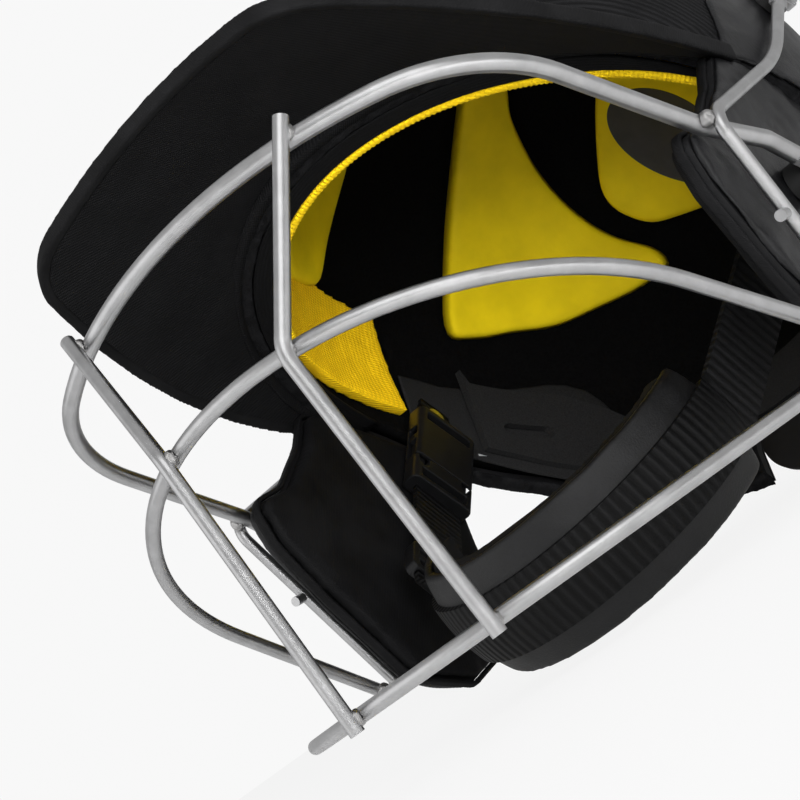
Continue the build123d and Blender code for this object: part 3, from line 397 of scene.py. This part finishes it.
def dress(piece, slot, body, finish=None, *replaced):
    if piece.name not in bpy.context.scene.collection.objects:
        bpy.context.scene.collection.objects.link(piece)
    piece.data.materials.clear()
    piece.data.materials.append(finishes[finish or slot])
    for face in piece.data.polygons:
        face.use_smooth = True
    if body:
        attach(piece, body)
    if replaced:
        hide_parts(*replaced)
    return piece


plug_radius = 5.0 * MM
plug_middle = Vector((81.65 * MM, -11.89 * MM, 66.67 * MM))
plug_length = 4.6 * MM
plug_sides = 24
weld_reach = 0.01 * MM
quarter_turn = math.pi / 2


def merged_copy(node):
    shape = bmesh.new()
    shape.from_mesh(nodes[node].data)
    bmesh.ops.remove_doubles(shape, verts=shape.verts[:], dist=weld_reach)
    return shape


def closed_bore(shape, side):
    # the lining's cloth runs on over the nut, so the nut's bore is filled
    middle = Vector((plug_middle.x * side, plug_middle.y, plug_middle.z))
    place = Matrix.Translation(middle) @ Matrix.Rotation(quarter_turn, 4, "Y")
    bmesh.ops.create_cone(shape, cap_ends=True, segments=plug_sides, depth=plug_length,
                          radius1=plug_radius, radius2=plug_radius, matrix=place)


def applied(piece):
    graph = bpy.context.evaluated_depsgraph_get()
    mesh = bpy.data.meshes.new_from_object(piece.evaluated_get(graph))
    piece.modifiers.clear()
    piece.data = mesh


smooth_share = 0.5


def remade(name, voxel, passes, node):
    # a closed solid becomes an even skin whose edges are rounded by smoothing
    shape = merged_copy(node)
    if name.startswith("guard_lining"):
        closed_bore(shape, 1 if name.endswith("left") else -1)
    mesh = bpy.data.meshes.new(name)
    shape.to_mesh(mesh)
    shape.free()
    piece = bpy.data.objects.new(name, mesh)
    bpy.context.scene.collection.objects.link(piece)
    remesh = piece.modifiers.new("even", "REMESH")
    remesh.mode = "VOXEL"
    remesh.voxel_size = voxel
    smooth = piece.modifiers.new("round", "SMOOTH")
    smooth.factor = smooth_share
    smooth.iterations = passes
    applied(piece)
    return piece


def moved(piece, shift):
    # shift(place, normal) gives how far each point of the piece goes
    mesh = piece.data
    ways = [v.normal.copy() for v in mesh.vertices]
    for vertex, way in zip(mesh.vertices, ways):
        vertex.co += shift(vertex.co, way)
    mesh.update()


def crumple(piece, depth, size, seed):
    offset = Vector((seed, 2.3 * seed, -seed))
    moved(piece, lambda place, way: way * depth * noise.noise(place / size + offset))


swell_pressure = 4.0
swell_steps = 20
cloth_quality = 4


def puffed(piece, shrink, cap):
    # the pad starts a little thin, swells like a stuffed cover and is held to a cap
    moved(piece, lambda place, way: way * -shrink)
    scene = bpy.context.scene
    start = [v.co.copy() for v in piece.data.vertices]
    cloth = piece.modifiers.new("swell", "CLOTH")
    cloth.settings.use_pressure = True
    cloth.settings.uniform_pressure_force = swell_pressure
    cloth.settings.effector_weights.gravity = 0.0
    cloth.settings.quality = cloth_quality
    cloth.point_cache.frame_start = 1
    cloth.point_cache.frame_end = swell_steps
    for step in range(1, swell_steps + 1):
        scene.frame_set(step)
    graph = bpy.context.evaluated_depsgraph_get()
    swollen = [v.co.copy() for v in piece.evaluated_get(graph).data.vertices]
    piece.modifiers.clear()
    scene.frame_set(1)
    for vertex, was, now in zip(piece.data.vertices, start, swollen):
        away = now - was
        if away.length > cap:
            away *= cap / away.length
        vertex.co = was + away
    piece.data.update()


def body_of(node):
    return nodes[node]["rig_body"]


# The smooth surfaces that the layers were drawn on

shell_half_width = 93.0 * MM
shell_half_length = 114.5 * MM
crown_height = 105.0 * MM
skirt_depth = 66.0 * MM
skirt_tuck = 5.0 * MM
snap_reach = 0.7 * MM
most_halvings = 8


def on_dome(point, inset):
    x, forward, up = round_head(point)
    width = shell_half_width - inset
    length = shell_half_length - inset
    if up >= 0:
        height = crown_height - inset
        share = math.sqrt((x / width) ** 2 + (forward / length) ** 2 + (up / height) ** 2)
        return on_helmet(x / share, forward / share, up / share)
    taper = 1 - skirt_tuck * -up / skirt_depth / width
    share = math.sqrt((x / width) ** 2 + (forward / length) ** 2) / taper
    return on_helmet(x / share, forward / share, up)


def finer(shape, longest):
    # long edges are halved until none is longer than asked
    for _ in range(most_halvings):
        long_edges = [e for e in shape.edges if e.calc_length() > longest]
        if not long_edges:
            break
        bmesh.ops.subdivide_edges(shape, edges=long_edges, cuts=1)
        bmesh.ops.triangulate(shape, faces=shape.faces[:])


def dome_layer(name, node, insets, longest, slot):
    shape = merged_copy(node)
    finer(shape, longest)
    for vertex in shape.verts:
        nearest = min((on_dome(vertex.co, i) for i in insets),
                      key=lambda p: (p - vertex.co).length)
        if (nearest - vertex.co).length < snap_reach:
            vertex.co = nearest
    return put(name, shape, slot, body_of(node), None, node)


cover_thickness = 1.2 * MM
layer_gap = 0.15 * MM
shell_wall = 3.0 * MM
liner_wall = 4.0 * MM
liner_out = cover_thickness + shell_wall + 2 * layer_gap

cover_mesh_size = 4.0 * MM
foam_mesh_size = 5.0 * MM

dome_layer("cloth_cover", "shell_cover", (0.0, cover_thickness), cover_mesh_size, "black_cloth")
dome_layer("inner_foam", "foam_liner", (liner_out, liner_out + liner_wall), foam_mesh_size, "black_foam")

crisp_angle = math.radians(35)


def skin(name, node, slot, body, finish=None):
    # a sewn piece keeps its folded edges crisp
    piece = put(name, merged_copy(node), slot, body, finish, node)
    piece.data.set_sharp_from_angle(angle=crisp_angle)
    return piece


for name, node, slot in (("peak_top", "peak_upper_cloth", "black_cloth"),
                         ("peak_underside", "peak_lower_cloth", "black_cloth"),
                         ("strap_left", "webbing_left", "webbing"),
                         ("hanger_left", "strap_hanger_left", "webbing"),
                         ("hanger_right", "strap_hanger_right", "webbing")):
    skin(name, node, slot, body_of(node))
# The webbing below the buckle follows the plug and folds up above the slider
strap_right = skin("strap_right", "webbing_right", "webbing", None)
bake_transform(strap_right)
skin("cup_strap", "cup_webbing", "webbing", body_of("cup_webbing"), "cup_webbing")


# Ring shapes that follow the rim

rim_line = [(0, -2.6), (8, -2.7), (16, -2.95), (24, -3.3), (32, -3.7), (40, -4.2), (48, -5.05),
            (56, -6.8), (64, -8.9), (72, -10.2), (80, -11.6), (96, -13.4)]


def along(line, turn):
    # the height at a turn from straight ahead, read from a line of (degrees, millimetres)
    for (near, low), (far, high) in zip(line, line[1:]):
        if turn <= far:
            share = max(0.0, (turn - near) / (far - near))
            return (low + (high - low) * share) * MM
    return line[-1][1] * MM


def rim_up(azimuth):
    # height of the rim's lower face
    return along(rim_line, abs(azimuth))


def dome_place(azimuth, up, inset):
    # a point at an azimuth and a height on the dome's layer at an inset
    angle = math.radians(azimuth)
    width = shell_half_width - inset
    length = shell_half_length - inset
    if up >= 0:
        size = math.sqrt(1 - (up / (crown_height - inset)) ** 2)
    else:
        size = 1 - skirt_tuck * -up / skirt_depth / width
    reach = size / math.sqrt((math.sin(angle) / width) ** 2 + (math.cos(angle) / length) ** 2)
    return on_helmet(math.sin(angle) * reach, math.cos(angle) * reach, up)


def bridged(shape, rows):
    # faces between closed rows of points
    for row, following in zip(rows, rows[1:]):
        for index in range(len(row)):
            after = (index + 1) % len(row)
            shape.faces.new((row[index], row[after], following[after], following[index]))


def ring_piece(name, profile_at, start, end, step, slot, body, finish, *replaced):
    # profile_at(azimuth) gives a closed loop of (inset, up) places
    shape = bmesh.new()
    count = round((end - start) / step)
    rows = []
    for index in range(count + 1):
        azimuth = start + index * (end - start) / count
        rows.append([shape.verts.new(dome_place(azimuth, up, inset))
                     for inset, up in profile_at(azimuth)])
    bridged(shape, rows)
    shape.faces.new(rows[0])
    shape.faces.new(rows[-1])
    bmesh.ops.recalc_face_normals(shape, faces=shape.faces[:])
    return put(name, shape, slot, body, finish, *replaced)


elastic_out = 6.3 * MM
elastic_in = 12.0 * MM
elastic_half_turn = 81.0
elastic_thickness = 1.4 * MM
elastic_rib = 0.16 * MM
elastic_ribs = 5
samples_per_rib = 4
elastic_step = 2.0
# from this azimuth and over this turn the elastic narrows to its least width
narrowing_start = 38.0
narrowing_turn = 34.0
least_width = 1.2 * MM


def elastic_edge(azimuth):
    # the elastic narrows towards the wearer's left temple
    share = min(1.0, max(0.0, (azimuth - narrowing_start) / narrowing_turn))
    share = share * share * (3 - 2 * share)
    return elastic_in + (elastic_out + least_width - elastic_in) * share


def elastic_profile(azimuth):
    low = rim_up(azimuth)
    inner = elastic_edge(azimuth)
    steps = elastic_ribs * samples_per_rib
    under = []
    for index in range(steps + 1):
        ridge = elastic_rib * 0.5 * (1 - math.cos(2 * math.pi * index / samples_per_rib))
        under.append((elastic_out + (inner - elastic_out) * index / steps, low + ridge))
    top = low + elastic_thickness
    return under + [(inner, top), (elastic_out, top)]


ring_piece("brow_band", elastic_profile, -elastic_half_turn, elastic_half_turn, elastic_step, "elastic",
           body_of("brow_elastic"), None, "brow_elastic")

roll_radius = 1.5 * MM
roll_notch = 0.28 * MM
roll_sides = 10
roll_tail_up = 5.5 * MM
roll_offset = 1.9 * MM
roll_lift = 0.9 * MM
roll_open_angle = -30
roll_turn = 240
tail_thickness = 1.2 * MM
band_in = 13.6 * MM
roll_start = -46.0
roll_end = 84.0
stitch_turn = 0.9
samples_per_stitch = 4


def roll_profile(azimuth):
    # a round overlocked roll just inside the elastic, with a tail up to the band
    centre_in = elastic_edge(azimuth) + roll_offset
    centre_up = rim_up(azimuth) + roll_lift
    wave = math.cos(2 * math.pi * azimuth / stitch_turn)
    radius = roll_radius - roll_notch * 0.5 * (1 - wave)
    loop = []
    for index in range(roll_sides):
        angle = math.radians(roll_open_angle + roll_turn * index / (roll_sides - 1))
        loop.append((centre_in + radius * math.cos(angle), centre_up - radius * math.sin(angle)))
    tail = centre_up + roll_tail_up + 2 * abs(band_in - centre_in)
    return loop + [(band_in - tail_thickness, tail), (band_in, tail)]


ring_piece("band_edge", roll_profile, roll_start, roll_end, stitch_turn / samples_per_stitch,
           "yellow_knit", body_of("sweatband_edge"), "yellow_edge", "sweatband_edge")

# The brow seam closes the space between the peak's root and the rim's welt
seam_line = [(0, 0.0), (15, -1.4), (30, -4.8), (45, -8.4), (55, -10.0), (65, -10.5), (80, -11.5)]


seam_half_turn = 72.0
seam_step = 2.0
seam_out = -0.8 * MM
seam_in = 2.4 * MM
seam_lap = 0.9 * MM


def seam_profile(azimuth):
    seam = along(seam_line, abs(azimuth))
    rim = rim_up(azimuth)
    low, high = min(seam, rim), max(seam, rim)
    return [(-0.6 * MM, low - 0.2 * MM), (0.9 * MM, low - 0.1 * MM), (seam_in, rim - 0.15 * MM),
            (seam_in, rim + 0.6 * MM), (0.4 * MM, high + seam_lap), (seam_out, high + seam_lap)]


ring_piece("brow_seam", seam_profile, -seam_half_turn, seam_half_turn, seam_step, "black_cloth",
           body_of("peak_lower_cloth"), None)

# Nape lining: a cloth-faced layer inside the foam, behind the ears and across the nape
nape_top = [(97, 16.0), (103, 15.6), (109, 13.9), (118, 13.3), (128, 12.9), (137, 12.9),
            (141, 11.5), (145, 7.3), (147.5, 0.5), (149.5, -10.5), (152, -19.5), (156, -24.5),
            (162, -30.6), (180, -33.0)]
nape_low = [(97, -10.5), (103, -13.0), (118, -19.5), (131, -26.5), (146, -36.5), (157, -42.5),
            (168, -47.5), (180, -50.0)]
nape_out = 8.85 * MM
nape_in = 9.9 * MM


nape_start = 97.0
dial_half_turn = 9.5
nape_step = 0.75
nape_bevel = 0.4 * MM
nape_round = 0.3 * MM
nape_shoulder = 0.6 * MM


def nape_profile(azimuth):
    turn = azimuth if azimuth <= 180 else 360 - azimuth
    low, high = along(nape_low, turn), along(nape_top, turn)
    return [(nape_out, low), (nape_in - nape_bevel, low - nape_round), (nape_in, low + nape_shoulder),
            (nape_in, high - nape_shoulder), (nape_in - nape_bevel, high + nape_round), (nape_out, high)]


# the lining stops on either side of the dial
for name, start, end in (("nape_lining_left", nape_start, 180.0 - dial_half_turn),
                         ("nape_lining_right", 180.0 + dial_half_turn, 360.0 - nape_start)):
    ring_piece(name, nape_profile, start, end, nape_step, "lining", body_of("foam_liner"), "nape_cloth")

# Pieces with an even skin: (name, node, voxel, smoothing passes)
round_pieces = [
    ("cover_button", "crown_button", 0.7, 4),
    ("peak_welt", "peak_binding", 0.4, 16),
    ("rim_welt", "rim_trim", 0.6, 16),
    ("guard_leather_left", "ear_cover_left", 0.7, 5),
    ("guard_leather_right", "ear_cover_right", 0.7, 5),
    ("guard_welt_left", "ear_piping_left", 0.5, 6),
    ("guard_welt_right", "ear_piping_right", 0.5, 6),
    ("guard_flap_left", "ear_flap_left", 0.7, 2),
    ("guard_flap_right", "ear_flap_right", 0.7, 2),
    ("cup_leather", "chin_cup", 0.6, 24),
    ("socket_moulding", "buckle_socket", 0.35, 3),
    ("plug_moulding", "buckle_plug", 0.35, 3),
    ("prong_moulding_rear", "prong_rear", 0.3, 2),
    ("prong_moulding_front", "prong_front", 0.3, 2),
    ("slider_moulding", "ladder_slider", 0.3, 2),
    ("weld_fillets", "weld_beads", 0.3, 8),
]
made = {}
for name, node, voxel, passes in round_pieces:
    piece = remade(name, voxel * MM, passes, node)
    finish = {"weld_beads": "weld", "chin_cup": "cup_leather"}.get(node)
    made[name] = dress(piece, slot_of_node[node], body_of(node), finish, node)



def islands(mesh):
    # groups of vertex indexes that hang together
    shape = bmesh.new()
    shape.from_mesh(mesh)
    seen = set()
    groups = []
    for start in shape.verts:
        if start.index in seen:
            continue
        seen.add(start.index)
        group = [start]
        for vertex in group:
            for edge in vertex.link_edges:
                other = edge.other_vert(vertex)
                if other.index not in seen:
                    seen.add(other.index)
                    group.append(other)
        groups.append([v.index for v in group])
    shape.free()
    return groups


# Smoothing draws the sewn pieces in, so they are filled out again over the cloth's edges
for name, swell in (("peak_welt", 0.32), ("rim_welt", 0.25), ("cup_leather", 0.2)):
    moved(made[name], lambda place, way: way * swell * MM)

# Each weld is drawn in towards its own middle, so that only a low fillet shows
weld_share = 0.74
welds = made["weld_fillets"].data
for group in islands(welds):
    middle = sum((welds.vertices[k].co for k in group), Vector()) / len(group)
    for k in group:
        welds.vertices[k].co = middle + (welds.vertices[k].co - middle) * weld_share
welds.update()

# Foam pads, drawn from their outlines: x to the wearer's left, then forward, in millimetres

pad_out = 8.9 * MM
pad_in = 16.2 * MM
pad_grid = 3.5 * MM
outline_step = 2.0 * MM
# grid points keep this share of the grid's pitch away from the outline
clear_share = 0.7
swell_reach = 9 * MM
curve_parts = 16
loop_smoothings = 3
merge_reach = 1e-7
# how far in from the outline and at which inset each ring of a pad's side lies
pad_side = [(1.0 * MM, pad_out), (0.0, pad_out + 1.0 * MM), (0.0, pad_in - 1.7 * MM),
            (0.35 * MM, pad_in - 0.6 * MM), (1.2 * MM, pad_in)]

crown_outline = [(-12.5, -8), (-3, -18), (-12, -29), (-21, -47), (-23.5, -63), (-20, -76),
                 (-11, -86), (-12, -89), (-29, -83), (-48, -68.5), (-61, -49), (-67, -35),
                 (-68, -30), (-64, -30), (-54.5, -28), (-38, -22), (-21, -13)]
rear_outline = [(15, -42), (20, -37), (29.5, -37), (45.5, -42), (58, -45), (50, -60), (26, -82),
                (11, -85), (-3, -83), (-8.5, -80), (-13, -73), (-11.5, -67), (-2, -58)]
side_outline = [(-42, 29), (-48, 27), (-56, 28), (-64, 31), (-67, 33), (-63, 48), (-59, 55),
                (-52, 57), (-49, 46)]


def over_plan(x, forward, inset):
    share = (x / (shell_half_width - inset)) ** 2 + (forward / (shell_half_length - inset)) ** 2
    height = (crown_height - inset) * math.sqrt(max(0.0, 1 - share))
    return on_helmet(x, forward, height)


def smooth_loop(points, step):
    # a closed curve through the points, cut at even steps
    dense = []
    count = len(points)
    for index in range(count):
        a, b, c, d = (Vector(points[(index + k) % count]) * MM for k in (-1, 0, 1, 2))
        for part in range(curve_parts):
            t = part / curve_parts
            dense.append(0.5 * (2 * b + (c - a) * t + (2 * a - 5 * b + 4 * c - d) * t * t
                                + (3 * b - a - 3 * c + d) * t ** 3))
    whole = sum((q - p).length for p, q in zip(dense, dense[1:] + dense[:1]))
    wanted = round(whole / step)
    loop = []
    travelled = 0.0
    for p, q in zip(dense, dense[1:] + dense[:1]):
        length = (q - p).length
        while len(loop) < wanted and len(loop) * whole / wanted < travelled + length:
            loop.append(p.lerp(q, (len(loop) * whole / wanted - travelled) / length))
        travelled += length
    for _ in range(loop_smoothings):
        before, after = loop[-1:] + loop[:-1], loop[1:] + loop[:1]
        loop = [(a + 2 * b + c) / 4 for a, b, c in zip(before, loop, after)]
    area = sum(p.cross(q) for p, q in zip(loop, loop[1:] + loop[:1]))
    return loop if area > 0 else loop[::-1]


def drawn_in(loop, back):
    ways = [(c - a).normalized() for a, c in zip(loop[-1:] + loop[:-1], loop[1:] + loop[:1])]
    return [p + Vector((-w.y, w.x)) * back for p, w in zip(loop, ways)]


def inside(point, loop):
    hits = 0
    for a, b in zip(loop, loop[1:] + loop[:1]):
        if (a.y > point.y) != (b.y > point.y):
            hits += point.x < a.x + (point.y - a.y) * (b.x - a.x) / (b.y - a.y)
    return hits % 2 == 1


def foam_pad(name, node, outline, crown):
    loop = smooth_loop(outline, outline_step)
    low_x, high_x = min(p.x for p in loop), max(p.x for p in loop)
    low_y, high_y = min(p.y for p in loop), max(p.y for p in loop)
    grid = []
    for row in range(int((high_y - low_y) / pad_grid) + 1):
        for column in range(int((high_x - low_x) / pad_grid) + 1):
            spot = Vector((low_x + (column + row % 2 / 2) * pad_grid, low_y + row * pad_grid))
            if inside(spot, loop) and min((spot - p).length for p in loop) > clear_share * pad_grid:
                grid.append(spot)
    shape = bmesh.new()
    rows = []
    for back, inset in pad_side:
        rows.append([shape.verts.new(on_dome(over_plan(p.x, p.y, pad_in), inset))
                     for p in drawn_in(loop, back)])
    bridged(shape, rows)
    for row, (back, inset) in ((rows[0], pad_side[0]), (rows[-1], pad_side[-1])):
        places = drawn_in(loop, back) + grid
        edges = [(index, (index + 1) % len(row)) for index in range(len(row))]
        flat = geometry.delaunay_2d_cdt(places, edges, [], 1, merge_reach)
        corners = []
        for spot, sources in zip(flat[0], flat[3]):
            on_row = [k for k in sources if k < len(row)]
            if on_row:
                corners.append(row[on_row[0]])
                continue
            away = min((spot - p).length for p in loop)
            swell = crown * (1 - math.exp(-away / swell_reach)) if inset == pad_in else 0.0
            place = on_dome(over_plan(spot.x, spot.y, pad_in), inset + swell)
            corners.append(shape.verts.new(place))
        for face in flat[2]:
            shape.faces.new([corners[k] for k in face])
    bmesh.ops.recalc_face_normals(shape, faces=shape.faces[:])
    piece = put(name, shape, "yellow_foam", body_of(node), None, node)
    return piece


for name, node, outline, crown in (
        ("crown_cushion", "crown_pad", crown_outline, 0.9),
        ("rear_cushion", "rear_pad", rear_outline, -0.35),
        ("side_cushion_right", "side_pad_right", side_outline, 0.6),
        ("side_cushion_left", "side_pad_left", [(-x, y) for x, y in side_outline], 0.6)):
    foam_pad(name, node, outline, crown * MM)

# Padded cloth pieces: (name, node, voxel, starting shrink, cap, fill)
padded_passes = 5
padded_pieces = [
    ("temple_band", "sweatband", 1.1, 0.3, 0.6, 0.6),
    ("guard_lining_left", "ear_pad_left", 1.2, 0.5, 0.8, 0.6),
    ("guard_lining_right", "ear_pad_right", 1.2, 0.5, 0.8, 0.6),
    ("cup_lining", "chin_cup_pad", 1.1, 0.3, 0.5, 0.5),
]
for name, node, voxel, shrink, cap, fill in padded_pieces:
    piece = remade(name, voxel * MM, padded_passes, node)
    puffed(piece, shrink * MM, cap * MM)
    dress(piece, slot_of_node[node], body_of(node), None, node)

# Creases in the leather and unevenness in the sewn edges
for name, depth, size, seed in (("guard_leather_left", 1.1, 15.0, 1.0),
                                ("guard_leather_left", 0.35, 4.5, 1.5),
                                ("guard_leather_right", 1.1, 15.0, 2.0),
                                ("cup_leather", 0.3, 10.0, 3.0),
                                ("guard_flap_left", 0.3, 9.0, 4.0),
                                ("guard_flap_right", 0.3, 9.0, 5.0),
                                ("peak_welt", 0.12, 6.0, 6.0),
                                ("rim_welt", 0.3, 5.0, 7.0),
                                ("weld_fillets", 0.18, 1.5, 8.0)):
    crumple(made[name], depth * MM, size * MM, seed)

# Floor, light and camera

pale_share = 0.937
pale = (pale_share, pale_share, pale_share, 1.0)
floor_size = 40.0
floor_drop = 0.2 * MM
floor_shape = bmesh.new()
bmesh.ops.create_grid(floor_shape, x_segments=1, y_segments=1, size=floor_size)
floor_mesh = bpy.data.meshes.new("floor")
floor_shape.to_mesh(floor_mesh)
floor_shape.free()
floor = bpy.data.objects.new("floor", floor_mesh)
floor.location.z = -floor_drop
bpy.context.scene.collection.objects.link(floor)

# The floor is the colour of the background, and keeps a faint shadow
shadow_share = 0.07
floor_share = 0.8
floor_look = bpy.data.materials.new("pale_floor")
floor_look.use_nodes = True
tree = floor_look.node_tree
diffuse = tree.nodes["Principled BSDF"]
diffuse.inputs["Base Color"].default_value = (floor_share, floor_share, floor_share, 1.0)
diffuse.inputs["Roughness"].default_value = 0.95
diffuse.inputs["Specular IOR Level"].default_value = 0.0
glow = tree.nodes.new("ShaderNodeEmission")
glow.inputs["Color"].default_value = pale
paths = tree.nodes.new("ShaderNodeLightPath")
glow_part = tree.nodes.new("ShaderNodeMath")
glow_part.operation = "MULTIPLY"
glow_part.inputs[1].default_value = 1 - shadow_share
tree.links.new(paths.outputs["Is Camera Ray"], glow_part.inputs[0])
mix = tree.nodes.new("ShaderNodeMixShader")
tree.links.new(glow_part.outputs["Value"], mix.inputs["Fac"])
tree.links.new(diffuse.outputs["BSDF"], mix.inputs[1])
tree.links.new(glow.outputs["Emission"], mix.inputs[2])
tree.links.new(mix.outputs["Shader"], tree.nodes["Material Output"].inputs["Surface"])
floor_mesh.materials.append(floor_look)

room_light = 0.42
world = bpy.data.worlds.new("studio")
bpy.context.scene.world = world
world.use_nodes = True
tree = world.node_tree
background = tree.nodes["Background"]
background.inputs["Color"].default_value = (1.0, 1.0, 1.0, 1.0)
background.inputs["Strength"].default_value = room_light
white = tree.nodes.new("ShaderNodeBackground")
white.inputs["Color"].default_value = pale
paths = tree.nodes.new("ShaderNodeLightPath")
mix = tree.nodes.new("ShaderNodeMixShader")
tree.links.new(paths.outputs["Is Camera Ray"], mix.inputs["Fac"])
tree.links.new(background.outputs["Background"], mix.inputs[1])
tree.links.new(white.outputs["Background"], mix.inputs[2])
tree.links.new(mix.outputs["Shader"], tree.nodes["World Output"].inputs["Surface"])


def lamp(name, place, target, power, size, mirrored):
    light = bpy.data.lights.new(name, "AREA")
    light.energy = power
    light.size = size
    lamp_object = bpy.data.objects.new(name, light)
    lamp_object.visible_glossy = mirrored
    lamp_object.location = place
    lamp_object.rotation_mode = "QUATERNION"
    lamp_object.rotation_quaternion = (Vector(target) - Vector(place)).to_track_quat("-Z", "Y")
    bpy.context.scene.collection.objects.link(lamp_object)


# name, place, target, power, size, whether the steel and leather mirror it
for described in (("key", (0.9, -1.1, 0.9), (0, 0, 0.1), 6.0, 1.3, True),
                  ("fill", (-1.0, -0.9, 0.3), (0, 0, 0.1), 4.0, 1.4, True),
                  ("low_front", (0.62, -0.7, 0.04), (-0.03, 0.05, 0.17), 29.0, 0.8, False)):
    lamp(*described)

camera_data = bpy.data.cameras.new("camera")
camera_data.sensor_width = 36.0
camera_data.lens = 79.81
camera_data.shift_x = 0.1811
camera_data.shift_y = 0.0695
camera_data.clip_start = 0.01
camera = bpy.data.objects.new("camera", camera_data)
right = Vector((0.61012, 0.54503, -0.57506))
down = Vector((-0.54388, -0.23968, -0.8042))
ahead = Vector((-0.57615, 0.80343, 0.1502))
turn = Matrix((right, -down, -ahead)).transposed()
camera.rotation_mode = "QUATERNION"
camera.rotation_quaternion = turn.to_quaternion()
camera.location = (228.24 * MM, -470.79 * MM, 22.4 * MM)
bpy.context.scene.collection.objects.link(camera)
bpy.context.scene.camera = camera
bpy.context.scene.view_settings.view_transform = "Standard"
